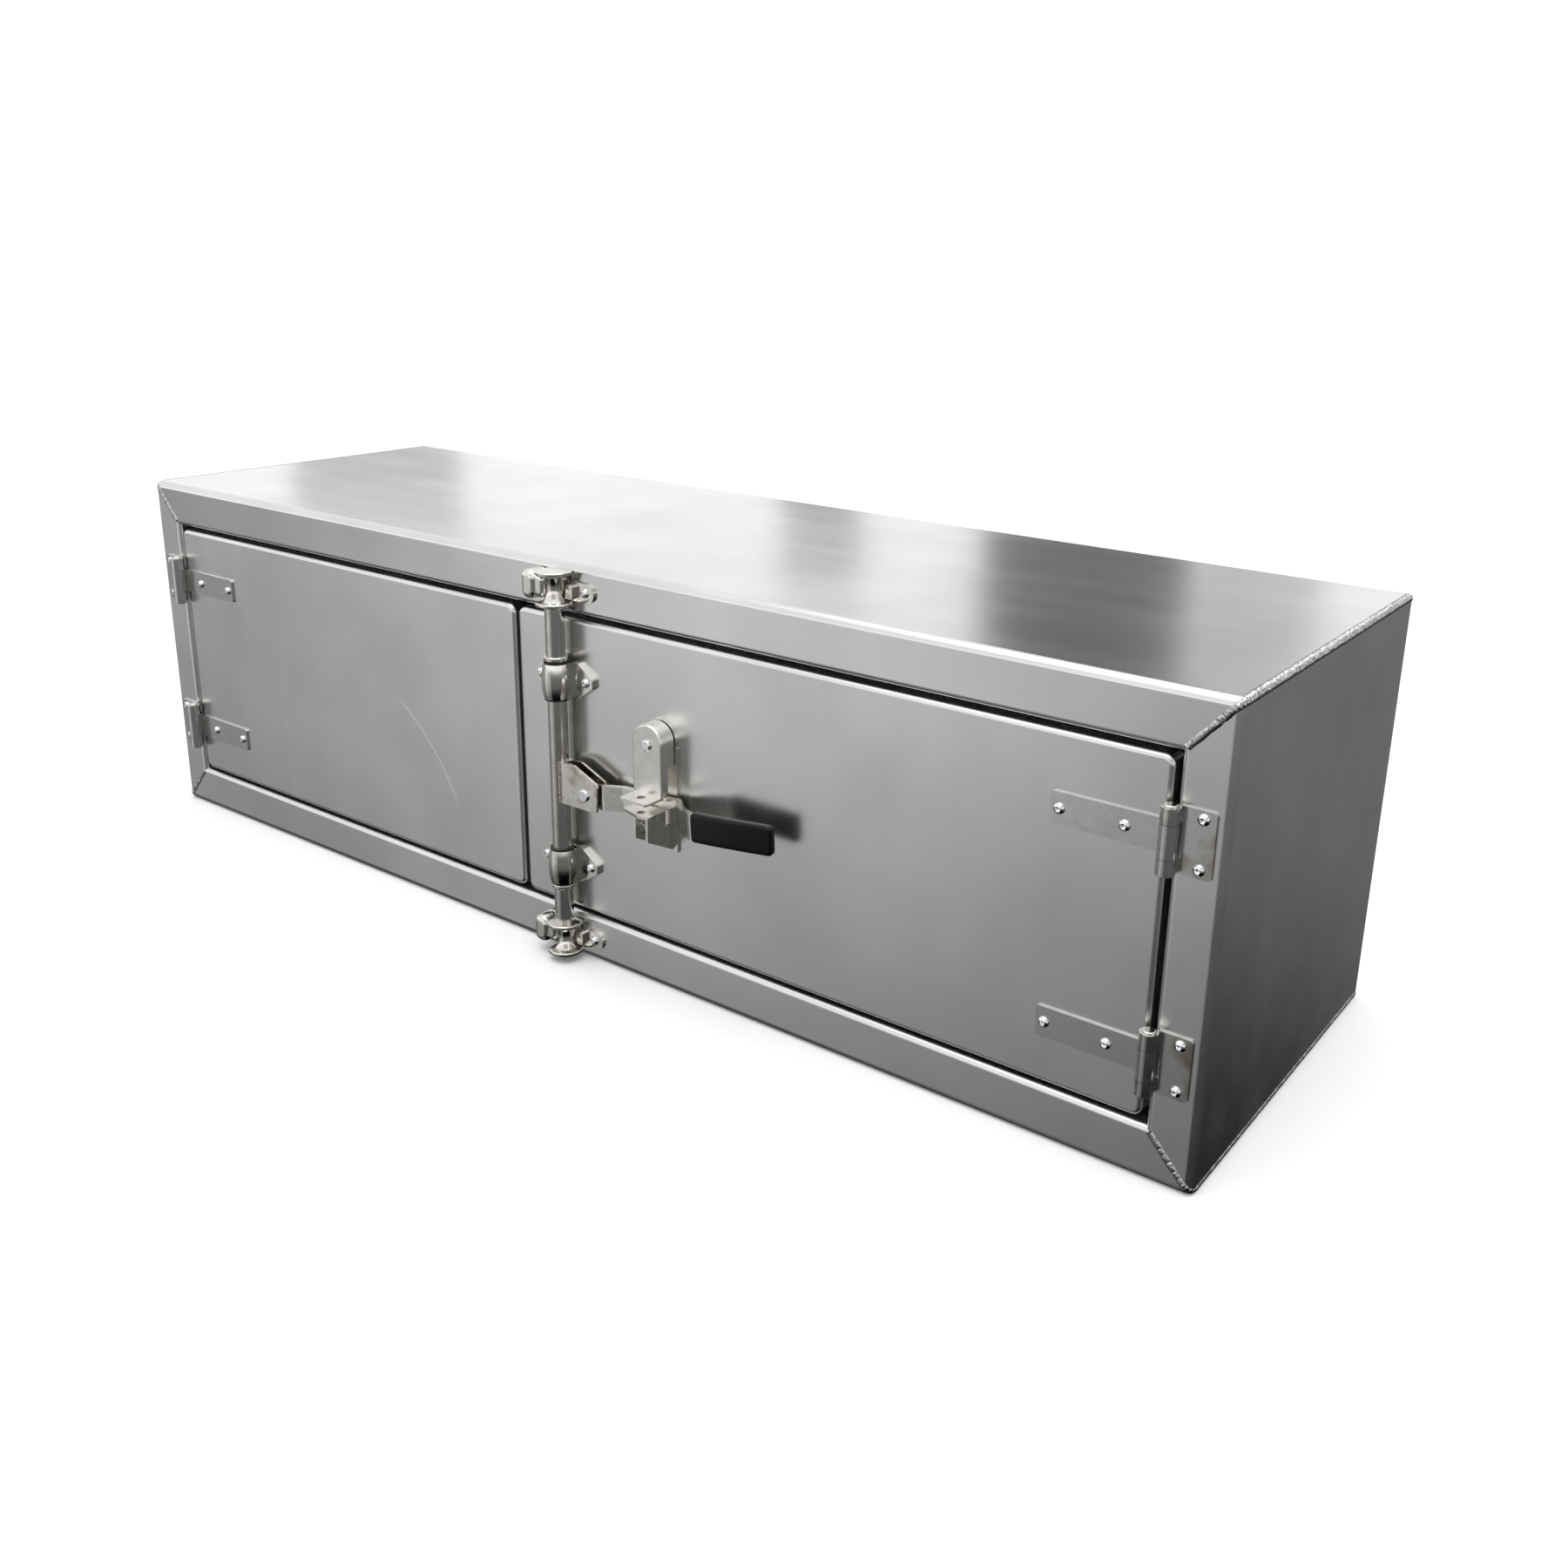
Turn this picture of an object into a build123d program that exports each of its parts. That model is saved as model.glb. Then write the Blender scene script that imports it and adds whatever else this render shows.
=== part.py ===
from build123d import *

import os
from math import cos, hypot, radians, sin

# A two-door aluminium truck tool box, locked by a vertical cam rod with a padlockable handle.
# Origin: the centre of the bottom face. +X is to the right seen from the doors, the doors face -Y,
# and +Z is up. Everything is in millimetres.

# ---------------------------------------------------------------- driving dimensions
length = 1524.0
depth = 457.0
height = 457.0
sheet = 3.0
front = -depth / 2
back = depth / 2
half = length / 2

rail = 54.0             # width of the top and bottom frame rails
stile = 48.0            # width of the left and right frame stiles
edge_bend = 8.0         # outside radius where a panel turns on to the front
jamb_bend = 6.0         # outside radius at the opening
lip_bend = 2.0
jamb_depth = 40.0       # how far the opening's wall runs back to the door stop
stop_rail = 18.0        # door stop standing into the opening, on the rails
stop_stile = 16.0       # and on the stiles: the same 9 to 8 as rail to stile

bead_radius = 4.5       # corner weld, a round bead sunk into the mitre
bead_inset = 4.9
bead_depth = 3.2
corner_relief = 6.4    # square edge taken off the sheets where the bead fills the corner

door_gap = 5.0
door_meeting_x = -63.0
door_meeting_gap = 6.0
pan_depth = 26.0
pan_lip = 12.0
pan_corner = 10.0
pan_edge = 5.0

pin_x = 713.0           # hinge pins, mirrored left and right
pin_offset = 9.5        # pin axis in front of the front face
pin_radius = 5.95
knuckle_bore = 6.0
knuckle_radius = 8.5
leaf_gauge = 2.5
leaf_height = 60.0
strap_height = 30.0
strap_end_x = 602.0
leaf_end_x = 750.0
hinge_z = (121.5, 328.5)
strap_screw_x = (610.5, 671.5)
leaf_neck = 9.0         # from the pin axis to where each plate meets the front face
strap_neck = 12.0
leaf_screw_x = 739.0
leaf_screw_rise = 22.2  # above and below the hinge's middle

screw_radius = 3.0      # M6 button head screws
screw_hole = 3.1
screw_head_radius = 5.25
screw_head_height = 3.3
socket_flats = 4.0
socket_depth = 2.0
nut_flats = 10.0
nut_height = 5.0

rod_x = 14.0
rod_offset = 15.5       # rod axis in front of the front face
rod_radius = 10.65      # half inch pipe, 21.3 outside
rod_wall = 2.8
rod_bottom = 46.0
rod_top = 413.5
guide_z = (115.5, 331.0)
guide_screw_reach = 33.5
guide_half_height = 19.5
bushing_bore = 10.7
bushing_radius = 12.4
barrel_gauge = 2.5

disc_radius = 20.0
disc_thickness = 4.4
disc_rear_flat = 14.3
disc_side_flat = 13.6
neck_radius = 7.0
plug_radius = 7.8
plug_length = 20.0
lower_discs = (8.6, 41.6)     # undersides of the lower cam's two discs
upper_discs = (413.5, 447.4)
keeper_z = (25.5, 429.0)
keeper_half_height = 10.5
keeper_screw_x = (-20.0, 47.5)
stud_reach = 12.0       # how far the studs stand in front of the frame, into the keepers' lobes

handle_pin_x = 58.0
handle_pin_z = 210.0
handle_tilt = 3.4       # degrees that the handle rises from its pin when it lies in its tray
bar_height = 28.0
bar_half_thickness = 3.0
grip_height = 31.0
grip_half_thickness = 4.75
grip_start = 163.0
grip_end = 258.0
cheek_gauge = 3.0
yoke_width = 15.5

catch_x = 151.0
hasp_pivot_z = 289.0
hasp_arch_z = 291.0
hasp_half_width = 20.0
hasp_face = 24.0        # front of the hasp, in front of the front face
hasp_tab_z = 231.6
tray_top = 217.5
tray_gauge = 3.0
tray_left = 128.0
tray_right = 167.5
notch_z = 199.8
notch_depth = 14.0
padlock_hole = 4.75
padlock_offset = 33.0   # hole axis in front of the front face

os.makedirs("parts", exist_ok=True)


def finish(part, label):
    part.label = label
    export_step(part, f"parts/{label}.step")
    print(label, round(part.volume / 1000, 2), "cm3")


def face_plane(offset):
    """A plane parallel to the front, this far in front of it. Its x is X, its y is Z, and it looks out."""
    return Plane(origin=(0, front - offset, 0), x_dir=(1, 0, 0), z_dir=(0, -1, 0))


def level(z):
    return Plane.XY.offset(z)


# ---------------------------------------------------------------- bent shell panels
def mitre_plane(side, top):
    corner_z = height if top > 0 else 0
    return Plane(origin=(side * half, 0, corner_z), z_dir=(side * rail, 0, -top * stile))


def corner_point(side, top, along, y):
    """A point on the mitre plane: this far in from the box's corner edge, at this y."""
    run = hypot(rail, stile)
    corner_z = height if top > 0 else 0
    return (side * (half - along * stile / run), y, corner_z - top * along * rail / run)


corners = [(side, top) for side in (-1, 1) for top in (-1, 1)]
beads = []
for side, top in corners:
    with BuildPart() as bead:
        with BuildLine():
            route = FilletPolyline(
                corner_point(side, top, bead_inset, back),
                corner_point(side, top, bead_inset, front + bead_depth),
                corner_point(side, top, hypot(rail, stile) - jamb_bend, front + bead_depth),
                radius=edge_bend,
            )
        with BuildSketch(Plane(origin=route @ 0, z_dir=route % 0)):
            Circle(bead_radius)
        sweep(path=route)
    beads.append(bead.part)


def shell_panel(label, plane, run, width, stop, keep, screw_spots):
    """One side of the shell: a sheet bent round to the front, back into the opening and in to the stop."""
    with BuildPart() as panel:
        with BuildSketch(plane):
            with BuildLine():
                FilletPolyline(
                    (back, 0),
                    (front, 0),
                    (front, width),
                    (front + jamb_depth, width),
                    (front + jamb_depth, width + stop),
                    (front + jamb_depth + sheet, width + stop),
                    (front + jamb_depth + sheet, width - sheet),
                    (front + sheet, width - sheet),
                    (front + sheet, sheet),
                    (back, sheet),
                    radius=(0, edge_bend, jamb_bend, lip_bend, 0, 0, lip_bend + sheet,
                            jamb_bend - sheet, edge_bend - sheet, 0),
                    close=True,
                )
            make_face()
        extrude(amount=run)
        for corner in corners:
            if keep(corner):
                side_kept = Keep.BOTTOM if run == length else Keep.TOP
                split(bisect_by=mitre_plane(*corner), keep=side_kept)
        for bead in beads:
            add(bead, mode=Mode.SUBTRACT)
        for side, top in corners:
            with Locations((side * half, 0, height if top > 0 else 0)):
                Box(corner_relief, 2 * depth, corner_relief, mode=Mode.SUBTRACT)
        with BuildSketch(face_plane(0)):
            with Locations(*screw_spots):
                Circle(screw_hole)
        extrude(amount=-2 * sheet, mode=Mode.SUBTRACT)
        add(panel.solids().sort_by(SortBy.VOLUME)[-1], mode=Mode.REPLACE)
    finish(panel.part, label)


frame_screws = [(side * leaf_screw_x, z + rise)
                for side in (-1, 1) for z in hinge_z for rise in (-leaf_screw_rise, leaf_screw_rise)]
upper_keeper_screws = [(x, keeper_z[1]) for x in keeper_screw_x]
lower_keeper_screws = [(x, keeper_z[0]) for x in keeper_screw_x]

top_plane = Plane(origin=(half, 0, height), x_dir=(0, 1, 0), z_dir=(-1, 0, 0))
bottom_plane = Plane(origin=(-half, 0, 0), x_dir=(0, 1, 0), z_dir=(1, 0, 0))
left_plane = Plane(origin=(-half, 0, height), x_dir=(0, 1, 0), z_dir=(0, 0, -1))
right_plane = Plane(origin=(half, 0, 0), x_dir=(0, 1, 0), z_dir=(0, 0, 1))
shell_panel("top_panel", top_plane, length, rail, stop_rail, lambda c: c[1] > 0, upper_keeper_screws)
shell_panel("bottom_panel", bottom_plane, length, rail, stop_rail, lambda c: c[1] < 0, lower_keeper_screws)
shell_panel("left_side_panel", left_plane, height, stile, stop_stile, lambda c: c[0] < 0, frame_screws[:4])
shell_panel("right_side_panel", right_plane, height, stile, stop_stile, lambda c: c[0] > 0, frame_screws[4:])

with BuildPart() as back_panel:
    with BuildSketch(face_plane(-depth + sheet)):
        with Locations((0, height / 2)):
            Rectangle(length - 2 * sheet, height - 2 * sheet)
    extrude(amount=-sheet)
    for bead in beads:
        add(bead, mode=Mode.SUBTRACT)
finish(back_panel.part, "back_panel")

with BuildPart() as corner_welds:
    for bead in beads:
        add(bead)
    with Locations((0, sheet / 2, height / 2)):
        Box(length - 2 * sheet, depth - sheet, height - 2 * sheet, mode=Mode.SUBTRACT)
    with Locations((0, 0, -bead_radius)):
        Box(2 * length, 2 * depth, 2 * bead_radius, mode=Mode.SUBTRACT)
finish(corner_welds.part, "corner_welds")

# Stitch welds inside, where the back panel meets the shell: small quarter rounds, 45 long.
stitch_leg = 4.0
stitch_length = 45.0
stitch_x = (120.0, 360.0, 600.0)
inner_back = back - sheet
with BuildPart() as back_stitch_welds:
    for side, top in corners:
        inner_z = height - sheet if top > 0 else sheet
        for x in stitch_x:
            seam = Plane(origin=(side * x, inner_back, inner_z), x_dir=(0, -1, 0), z_dir=(1, 0, 0))
            with BuildSketch(seam):
                with BuildLine():
                    Polyline((0, 0), (stitch_leg, 0), (0, top * stitch_leg), (0, 0))
                make_face()
            extrude(amount=stitch_length / 2, both=True)
    for side in (-1, 1):
        with BuildSketch(Plane(origin=(side * (half - sheet), inner_back, height / 2))):
            with BuildLine():
                Polyline((0, 0), (-side * stitch_leg, 0), (0, -stitch_leg), (0, 0))
            make_face()
        extrude(amount=stitch_length / 2, both=True)
finish(back_stitch_welds.part, "back_stitch_welds")

# Rubber weather strip on the door stop, all round the opening.
opening_width = 2 * (half - stile)
opening_height = height - 2 * rail
opening_z = height / 2
seal_outer = 4.0
seal_width = 11.0
seal_front = pan_depth + 0.5
with BuildPart() as door_seal:
    with BuildSketch(face_plane(-jamb_depth)):
        with Locations((0, opening_z)):
            RectangleRounded(opening_width - 2 * seal_outer, opening_height - 2 * seal_outer, 5)
            inset = 2 * (seal_outer + seal_width)
            RectangleRounded(opening_width - inset, opening_height - inset, 2, mode=Mode.SUBTRACT)
    extrude(amount=jamb_depth - seal_front)
finish(door_seal.part, "door_seal")


# ---------------------------------------------------------------- fasteners
def button_screws(label, spots, seat, grip):
    """Round head screws with a hex socket, looking out of the front face at these X, Z spots."""
    with BuildPart() as screws:
        with BuildSketch(face_plane(seat)):
            with Locations(*spots):
                Circle(screw_head_radius)
        extrude(amount=screw_head_height)
        fillet(screws.faces().sort_by(Axis.Y)[: len(spots)].edges(), screw_head_height * 0.75)
        with BuildSketch(face_plane(seat)):
            with Locations(*spots):
                Circle(screw_radius)
        extrude(amount=-grip)
        with BuildSketch(face_plane(seat + screw_head_height)):
            with Locations(*spots):
                RegularPolygon(socket_flats / 2, 6, major_radius=False)
        extrude(amount=-socket_depth, mode=Mode.SUBTRACT)
    finish(screws.part, label)


def hex_nuts(label, spots, seat):
    with BuildPart() as nuts:
        with BuildSketch(face_plane(seat)):
            with Locations(*spots):
                RegularPolygon(nut_flats / 2, 6, major_radius=False)
                Circle(screw_radius + 0.05, mode=Mode.SUBTRACT)
        extrude(amount=-nut_height)
    finish(nuts.part, label)


# ---------------------------------------------------------------- hinges
def knuckle_profile(side, reach):
    """Rolled knuckle and the neck that runs from it to the plate, which lies flat on the front face."""
    tangent = pin_offset - knuckle_radius
    axis_x = side * pin_x
    neck = leaf_neck if reach > pin_x else -strap_neck
    with BuildLine() as outline:
        Polyline(
            (axis_x, front - tangent),
            (axis_x + side * neck, front),
            (side * reach, front),
            (side * reach, front - leaf_gauge),
            (axis_x + side * neck, front - leaf_gauge),
            (axis_x, front - tangent - leaf_gauge),
            close=True,
        )
    make_face(outline.edges())
    with Locations((axis_x, front - pin_offset)):
        Circle(knuckle_radius)
        Circle(knuckle_bore, mode=Mode.SUBTRACT)


def hinge(side, z, level_name, side_name):
    name = f"{side_name}_{level_name}_hinge"
    axis_x = side * pin_x
    with BuildPart() as leaf:
        with BuildSketch(level(z - leaf_height / 2)):
            knuckle_profile(side, leaf_end_x)
        extrude(amount=leaf_height)
        with Locations((axis_x, front - pin_offset, z)):
            Box(2 * knuckle_radius + 2, 2 * knuckle_radius + 4, strap_height + 0.8, mode=Mode.SUBTRACT)
        fillet(leaf.edges().filter_by(Axis.Y).group_by(Axis.X)[-1 if side > 0 else 0], 3)
        with BuildSketch(face_plane(0)):
            with Locations((side * leaf_screw_x, z)):
                with Locations((0, -leaf_screw_rise), (0, leaf_screw_rise)):
                    Circle(screw_hole)
        extrude(amount=leaf_gauge, mode=Mode.SUBTRACT)
    finish(leaf.part, f"{name}_leaf")

    with BuildPart() as strap:
        with BuildSketch(level(z - strap_height / 2)):
            knuckle_profile(side, strap_end_x)
        extrude(amount=strap_height)
        fillet(strap.edges().filter_by(Axis.Y).group_by(Axis.X)[0 if side > 0 else -1], 3)
        with BuildSketch(face_plane(0)):
            with Locations(*[(side * x, z) for x in strap_screw_x]):
                Circle(screw_hole)
        extrude(amount=leaf_gauge, mode=Mode.SUBTRACT)
    finish(strap.part, f"{name}_strap")

    pin_overhang = 2.0
    with BuildPart() as pin:
        with BuildSketch(level(z - leaf_height / 2 - pin_overhang)):
            with Locations((axis_x, front - pin_offset)):
                Circle(pin_radius)
        extrude(amount=leaf_height + 2 * pin_overhang)
        fillet(pin.edges().filter_by(GeomType.CIRCLE), 1.2)
    finish(pin.part, f"{name}_pin")


for side, side_name in ((-1, "left"), (1, "right")):
    for z, level_name in zip(hinge_z, ("lower", "upper")):
        hinge(side, z, level_name, side_name)

button_screws("frame_hinge_screws", frame_screws, leaf_gauge, 15)
hex_nuts("frame_hinge_nuts", frame_screws, -sheet)
for side, side_name in ((-1, "left"), (1, "right")):
    strap_screws = [(side * x, z) for x in strap_screw_x for z in hinge_z]
    button_screws(f"{side_name}_strap_screws", strap_screws, leaf_gauge, 15)
    hex_nuts(f"{side_name}_strap_nuts", strap_screws, -sheet)


# ---------------------------------------------------------------- doors
door_low = rail + door_gap
door_high = height - rail - door_gap
guide_screws = [(rod_x + reach, z) for z in guide_z for reach in (-guide_screw_reach, guide_screw_reach)]
catch_rivet_spots = [(catch_x - 12, 184.0), (catch_x + 6, 184.0)]


def pan_hollow(middle, width, tall):
    with BuildPart() as hollow:
        with BuildSketch(face_plane(sheet - pan_depth)):
            with Locations(middle):
                RectangleRounded(width, tall, pan_corner - sheet)
        extrude(amount=pan_depth - 2 * sheet)
        fillet(hollow.faces().sort_by(Axis.Y)[0].edges(), pan_edge - sheet)
    return hollow.part


def door_pan(label, low_x, high_x, screw_spots, rivet_spots, rivet_hole):
    """A pressed tray: skin to the front, edges bent back, and a narrow lip bent in behind."""
    width = high_x - low_x
    tall = door_high - door_low
    middle = ((low_x + high_x) / 2, (door_low + door_high) / 2)
    with BuildPart() as pan:
        with BuildSketch(face_plane(-pan_depth)):
            with Locations(middle):
                RectangleRounded(width, tall, pan_corner)
        extrude(amount=pan_depth)
        fillet(pan.faces().sort_by(Axis.Y)[0].edges(), pan_edge)
        add(pan_hollow(middle, width - 2 * sheet, tall - 2 * sheet), mode=Mode.SUBTRACT)
        with BuildSketch(face_plane(-pan_depth)):
            with Locations(middle):
                mouth = 2 * (pan_lip + sheet)
                RectangleRounded(width - mouth, tall - mouth, 4)
        extrude(amount=sheet, mode=Mode.SUBTRACT)
        with BuildSketch(face_plane(0)):
            with Locations(*screw_spots):
                Circle(screw_hole)
            if rivet_spots:
                with Locations(*rivet_spots):
                    Circle(rivet_hole)
        extrude(amount=-2 * sheet, mode=Mode.SUBTRACT)
    finish(pan.part, label)


left_edge = -(half - stile - door_gap)
right_edge = half - stile - door_gap
meeting_left = door_meeting_x - door_meeting_gap / 2
meeting_right = door_meeting_x + door_meeting_gap / 2
rivet_hole = 4.0
left_screws = [(-x, z) for x in strap_screw_x for z in hinge_z]
right_screws = [(x, z) for x in strap_screw_x for z in hinge_z] + guide_screws
door_pan("left_door_pan", left_edge, meeting_left, left_screws, [], rivet_hole)
door_pan("right_door_pan", meeting_right, right_edge, right_screws,
         catch_rivet_spots + [(catch_x, hasp_pivot_z)], rivet_hole)

# The overlap strip is riveted behind the left door's free edge and reaches behind the right door.
strip_low = 76.0
strip_high = 381.0
strip_gauge = 2.5
strip_step = 3.0
strip_left = meeting_left - pan_lip - 1
strip_right = meeting_right + 28
strip_rivets = [(meeting_left - 8, strip_low + 20 + i * 66.25) for i in range(5)]
with BuildPart() as overlap_strip:
    with BuildSketch(level(strip_low)):
        with BuildLine():
            behind = front + pan_depth
            Polyline(
                (strip_left, behind),
                (meeting_left + 1, behind),
                (meeting_left + 3, behind + strip_step),
                (strip_right, behind + strip_step),
                (strip_right, behind + strip_step + strip_gauge),
                (meeting_left + 2, behind + strip_step + strip_gauge),
                (meeting_left, behind + strip_gauge),
                (strip_left, behind + strip_gauge),
                close=True,
            )
        make_face()
    extrude(amount=strip_high - strip_low)
finish(overlap_strip.part, "overlap_strip")

with BuildPart() as overlap_rivets:
    with BuildSketch(face_plane(-pan_depth - strip_gauge)):
        with Locations(*strip_rivets):
            Circle(4.5)
    extrude(amount=-1.8)
    fillet(overlap_rivets.faces().sort_by(Axis.Y)[-5:].edges(), 1.2)
finish(overlap_rivets.part, "overlap_rivets")

with BuildPart() as overlap_seal:
    with BuildSketch(face_plane(-pan_depth - strip_step)):
        with Locations((meeting_right + 9, (strip_low + strip_high) / 2)):
            Rectangle(14, strip_high - strip_low - 4)
    extrude(amount=2.5)
finish(overlap_seal.part, "overlap_seal")

# Plates behind the right door's skin spread the load of the lock.
with BuildPart() as lock_backing_plates:
    with BuildSketch(face_plane(-sheet)):
        with Locations(*[(rod_x, z) for z in guide_z]):
            RectangleRounded(92, 52, 4)
        with Locations((catch_x, 240)):
            RectangleRounded(62, 136, 4)
        with Locations(*guide_screws):
            Circle(screw_hole, mode=Mode.SUBTRACT)
        with Locations(*catch_rivet_spots, (catch_x, hasp_pivot_z)):
            Circle(rivet_hole, mode=Mode.SUBTRACT)
    extrude(amount=-sheet)
finish(lock_backing_plates.part, "lock_backing_plates")


# ---------------------------------------------------------------- rod guides
def ear_outline(z):
    """Hexagonal plate with rounded corners, as wide as the two guide screws need."""
    tip = guide_screw_reach + 9.5
    shoulder = 22.0
    with BuildLine() as outline:
        FilletPolyline(
            (rod_x - tip, z - 5),
            (rod_x - shoulder, z - guide_half_height),
            (rod_x + shoulder, z - guide_half_height),
            (rod_x + tip, z - 5),
            (rod_x + tip, z + 5),
            (rod_x + shoulder, z + guide_half_height),
            (rod_x - shoulder, z + guide_half_height),
            (rod_x - tip, z + 5),
            radius=3,
            close=True,
        )
    make_face(outline.edges())


def rod_guide(z, level_name):
    spots = [(rod_x - guide_screw_reach, z), (rod_x + guide_screw_reach, z)]
    rod_y = front - rod_offset
    with BuildPart() as base:
        with BuildSketch(face_plane(0)):
            ear_outline(z)
            with Locations(*spots):
                Circle(screw_hole, mode=Mode.SUBTRACT)
        extrude(amount=sheet)
    finish(base.part, f"{level_name}_guide_base")

    outer = bushing_radius + barrel_gauge
    bulge = 1.2             # the pressed barrel is fuller in the middle
    waist = 0.8             # and a little narrower at its ends
    with BuildPart() as bracket:
        with BuildSketch(face_plane(sheet)):
            ear_outline(z)
            with Locations(*spots):
                Circle(screw_hole, mode=Mode.SUBTRACT)
        extrude(amount=barrel_gauge)
        with BuildSketch(Plane(origin=(rod_x, rod_y, z), x_dir=(1, 0, 0), z_dir=(0, -1, 0))):
            with BuildLine():
                end = outer - waist
                Line((0, -guide_half_height), (end, -guide_half_height))
                ThreePointArc((end, -guide_half_height), (outer + bulge, 0), (end, guide_half_height))
                Line((end, guide_half_height), (0, guide_half_height))
                Line((0, guide_half_height), (0, -guide_half_height))
            make_face()
        revolve(axis=Axis((rod_x, rod_y, z), (0, 0, 1)), revolution_arc=360)
        with Locations((rod_x, rod_y + (rod_offset - sheet) / 2, z)):
            Box(2 * outer, rod_offset - sheet, 2 * guide_half_height)
        with Locations((rod_x, rod_y, z)):
            Cylinder(bushing_radius, 4 * guide_half_height, mode=Mode.SUBTRACT)
        with Locations((rod_x, rod_y + (rod_offset - sheet) / 2, z)):
            Box(2 * bushing_radius, rod_offset - sheet, 4 * guide_half_height, mode=Mode.SUBTRACT)
        with Locations((rod_x, front - sheet + outer, z)):
            Box(6 * outer, 2 * outer, 4 * guide_half_height, mode=Mode.SUBTRACT)
    finish(bracket.part, f"{level_name}_guide_bracket")

    flange = 2.0
    with BuildPart() as bushing:
        with Locations((rod_x, rod_y, z)):
            Cylinder(bushing_radius, 2 * guide_half_height + 2 * flange)
        flange_rise = guide_half_height + flange / 2
        with Locations((rod_x, rod_y, z + flange_rise), (rod_x, rod_y, z - flange_rise)):
            Cylinder(bushing_radius + 1, flange)
        with Locations((rod_x, rod_y, z)):
            Cylinder(bushing_bore, 3 * guide_half_height, mode=Mode.SUBTRACT)
        with Locations((rod_x, front - sheet + 5, z)):
            Box(4 * bushing_radius, 10, 3 * guide_half_height, mode=Mode.SUBTRACT)
    finish(bushing.part, f"{level_name}_guide_bushing")


for z, level_name in zip(guide_z, ("lower", "upper")):
    rod_guide(z, level_name)
button_screws("guide_screws", guide_screws, sheet + barrel_gauge, 20)
hex_nuts("guide_nuts", guide_screws, -2 * sheet)


# ---------------------------------------------------------------- keepers on the frame
def keeper(z, horn_low, horn_high, level_name):
    """Base plate, a tall lobe on the rod's left with a horn between the discs, and a low lug on the right."""
    lobe_left = -28.0
    lobe_right = -7.6
    lobe_height = 32.0
    lobe_reach = 25.0
    horn_left = -12.0
    horn_right = 4.0
    horn_reach = 22.0
    lug_x = 30.0
    lug_width = 9.0
    lug_reach = 9.0
    with BuildPart() as body:
        with BuildSketch(face_plane(0)):
            with Locations((sum(keeper_screw_x) / 2, z)):
                overhang = 2 * 12.5
                RectangleRounded(keeper_screw_x[1] - keeper_screw_x[0] + overhang, 2 * keeper_half_height,
                                 keeper_half_height - 0.5)
        extrude(amount=sheet)
        with BuildSketch(face_plane(sheet)):
            with Locations(((horn_left + horn_right) / 2, (horn_low + horn_high) / 2)):
                RectangleRounded(horn_right - horn_left, horn_high - horn_low, 7.5)
        extrude(amount=horn_reach - sheet)
        fillet(body.faces().sort_by(Axis.Y)[0].edges(), 6)
        with BuildSketch(face_plane(sheet)):
            with Locations(((lobe_left + lobe_right) / 2, (horn_low + horn_high) / 2)):
                RectangleRounded(lobe_right - lobe_left, lobe_height, 9)
        extrude(amount=lobe_reach - sheet)
        fillet(body.faces().sort_by(Axis.Y)[0].edges(), 7)
        with BuildSketch(face_plane(sheet)):
            with Locations((lug_x, z)):
                RectangleRounded(lug_width, 16, 3)
        extrude(amount=lug_reach - sheet)
        for x, hole_depth in zip(keeper_screw_x, (stud_reach + 0.5, sheet)):
            with BuildSketch(face_plane(0)):
                with Locations((x, z)):
                    Circle(screw_hole)
            extrude(amount=hole_depth, mode=Mode.SUBTRACT)
    finish(body.part, f"{level_name}_keeper")


keeper(keeper_z[0], 16.5, 40.5, "lower")
keeper(keeper_z[1], 419.5, 446.0, "upper")
keeper_spots = lower_keeper_screws + upper_keeper_screws
button_screws("keeper_screws", [(x, z) for x, z in keeper_spots if x > rod_x], sheet, 15)
hex_nuts("keeper_nuts", keeper_spots, -sheet)

# Under each lobe a stud takes the place of a screw.
with BuildPart() as keeper_studs:
    with BuildSketch(face_plane(stud_reach)):
        with Locations(*[(x, z) for x, z in keeper_spots if x < rod_x]):
            Circle(screw_radius)
    extrude(amount=-(stud_reach + sheet + nut_height + 1))
finish(keeper_studs.part, "keeper_studs")


# ---------------------------------------------------------------- lock rod, cams, collars
def round_tube(label, outer, inner, low, high, edge=0.0):
    with BuildPart() as tube:
        with BuildSketch(level(low)):
            with Locations((rod_x, front - rod_offset)):
                Circle(outer)
                Circle(inner, mode=Mode.SUBTRACT)
        extrude(amount=high - low)
        if edge:
            fillet(tube.edges().filter_by(GeomType.CIRCLE).filter_by(lambda e: e.radius > outer - 0.1), edge)
    finish(tube.part, label)


round_tube("lock_rod", rod_radius, rod_radius - rod_wall, rod_bottom, rod_top)
collar_radius = 13.0
collar_width = 5.5
collar_clearance = 2.3  # clears the bushing's 2 mm flange
collar_top = guide_z[1] + guide_half_height + collar_clearance
collar_bottom = guide_z[0] - guide_half_height - collar_clearance
round_tube("upper_collar", collar_radius, rod_radius, collar_top, collar_top + collar_width, 1.5)
round_tube("lower_collar", collar_radius, rod_radius, collar_bottom - collar_width, collar_bottom, 1.5)


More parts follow.
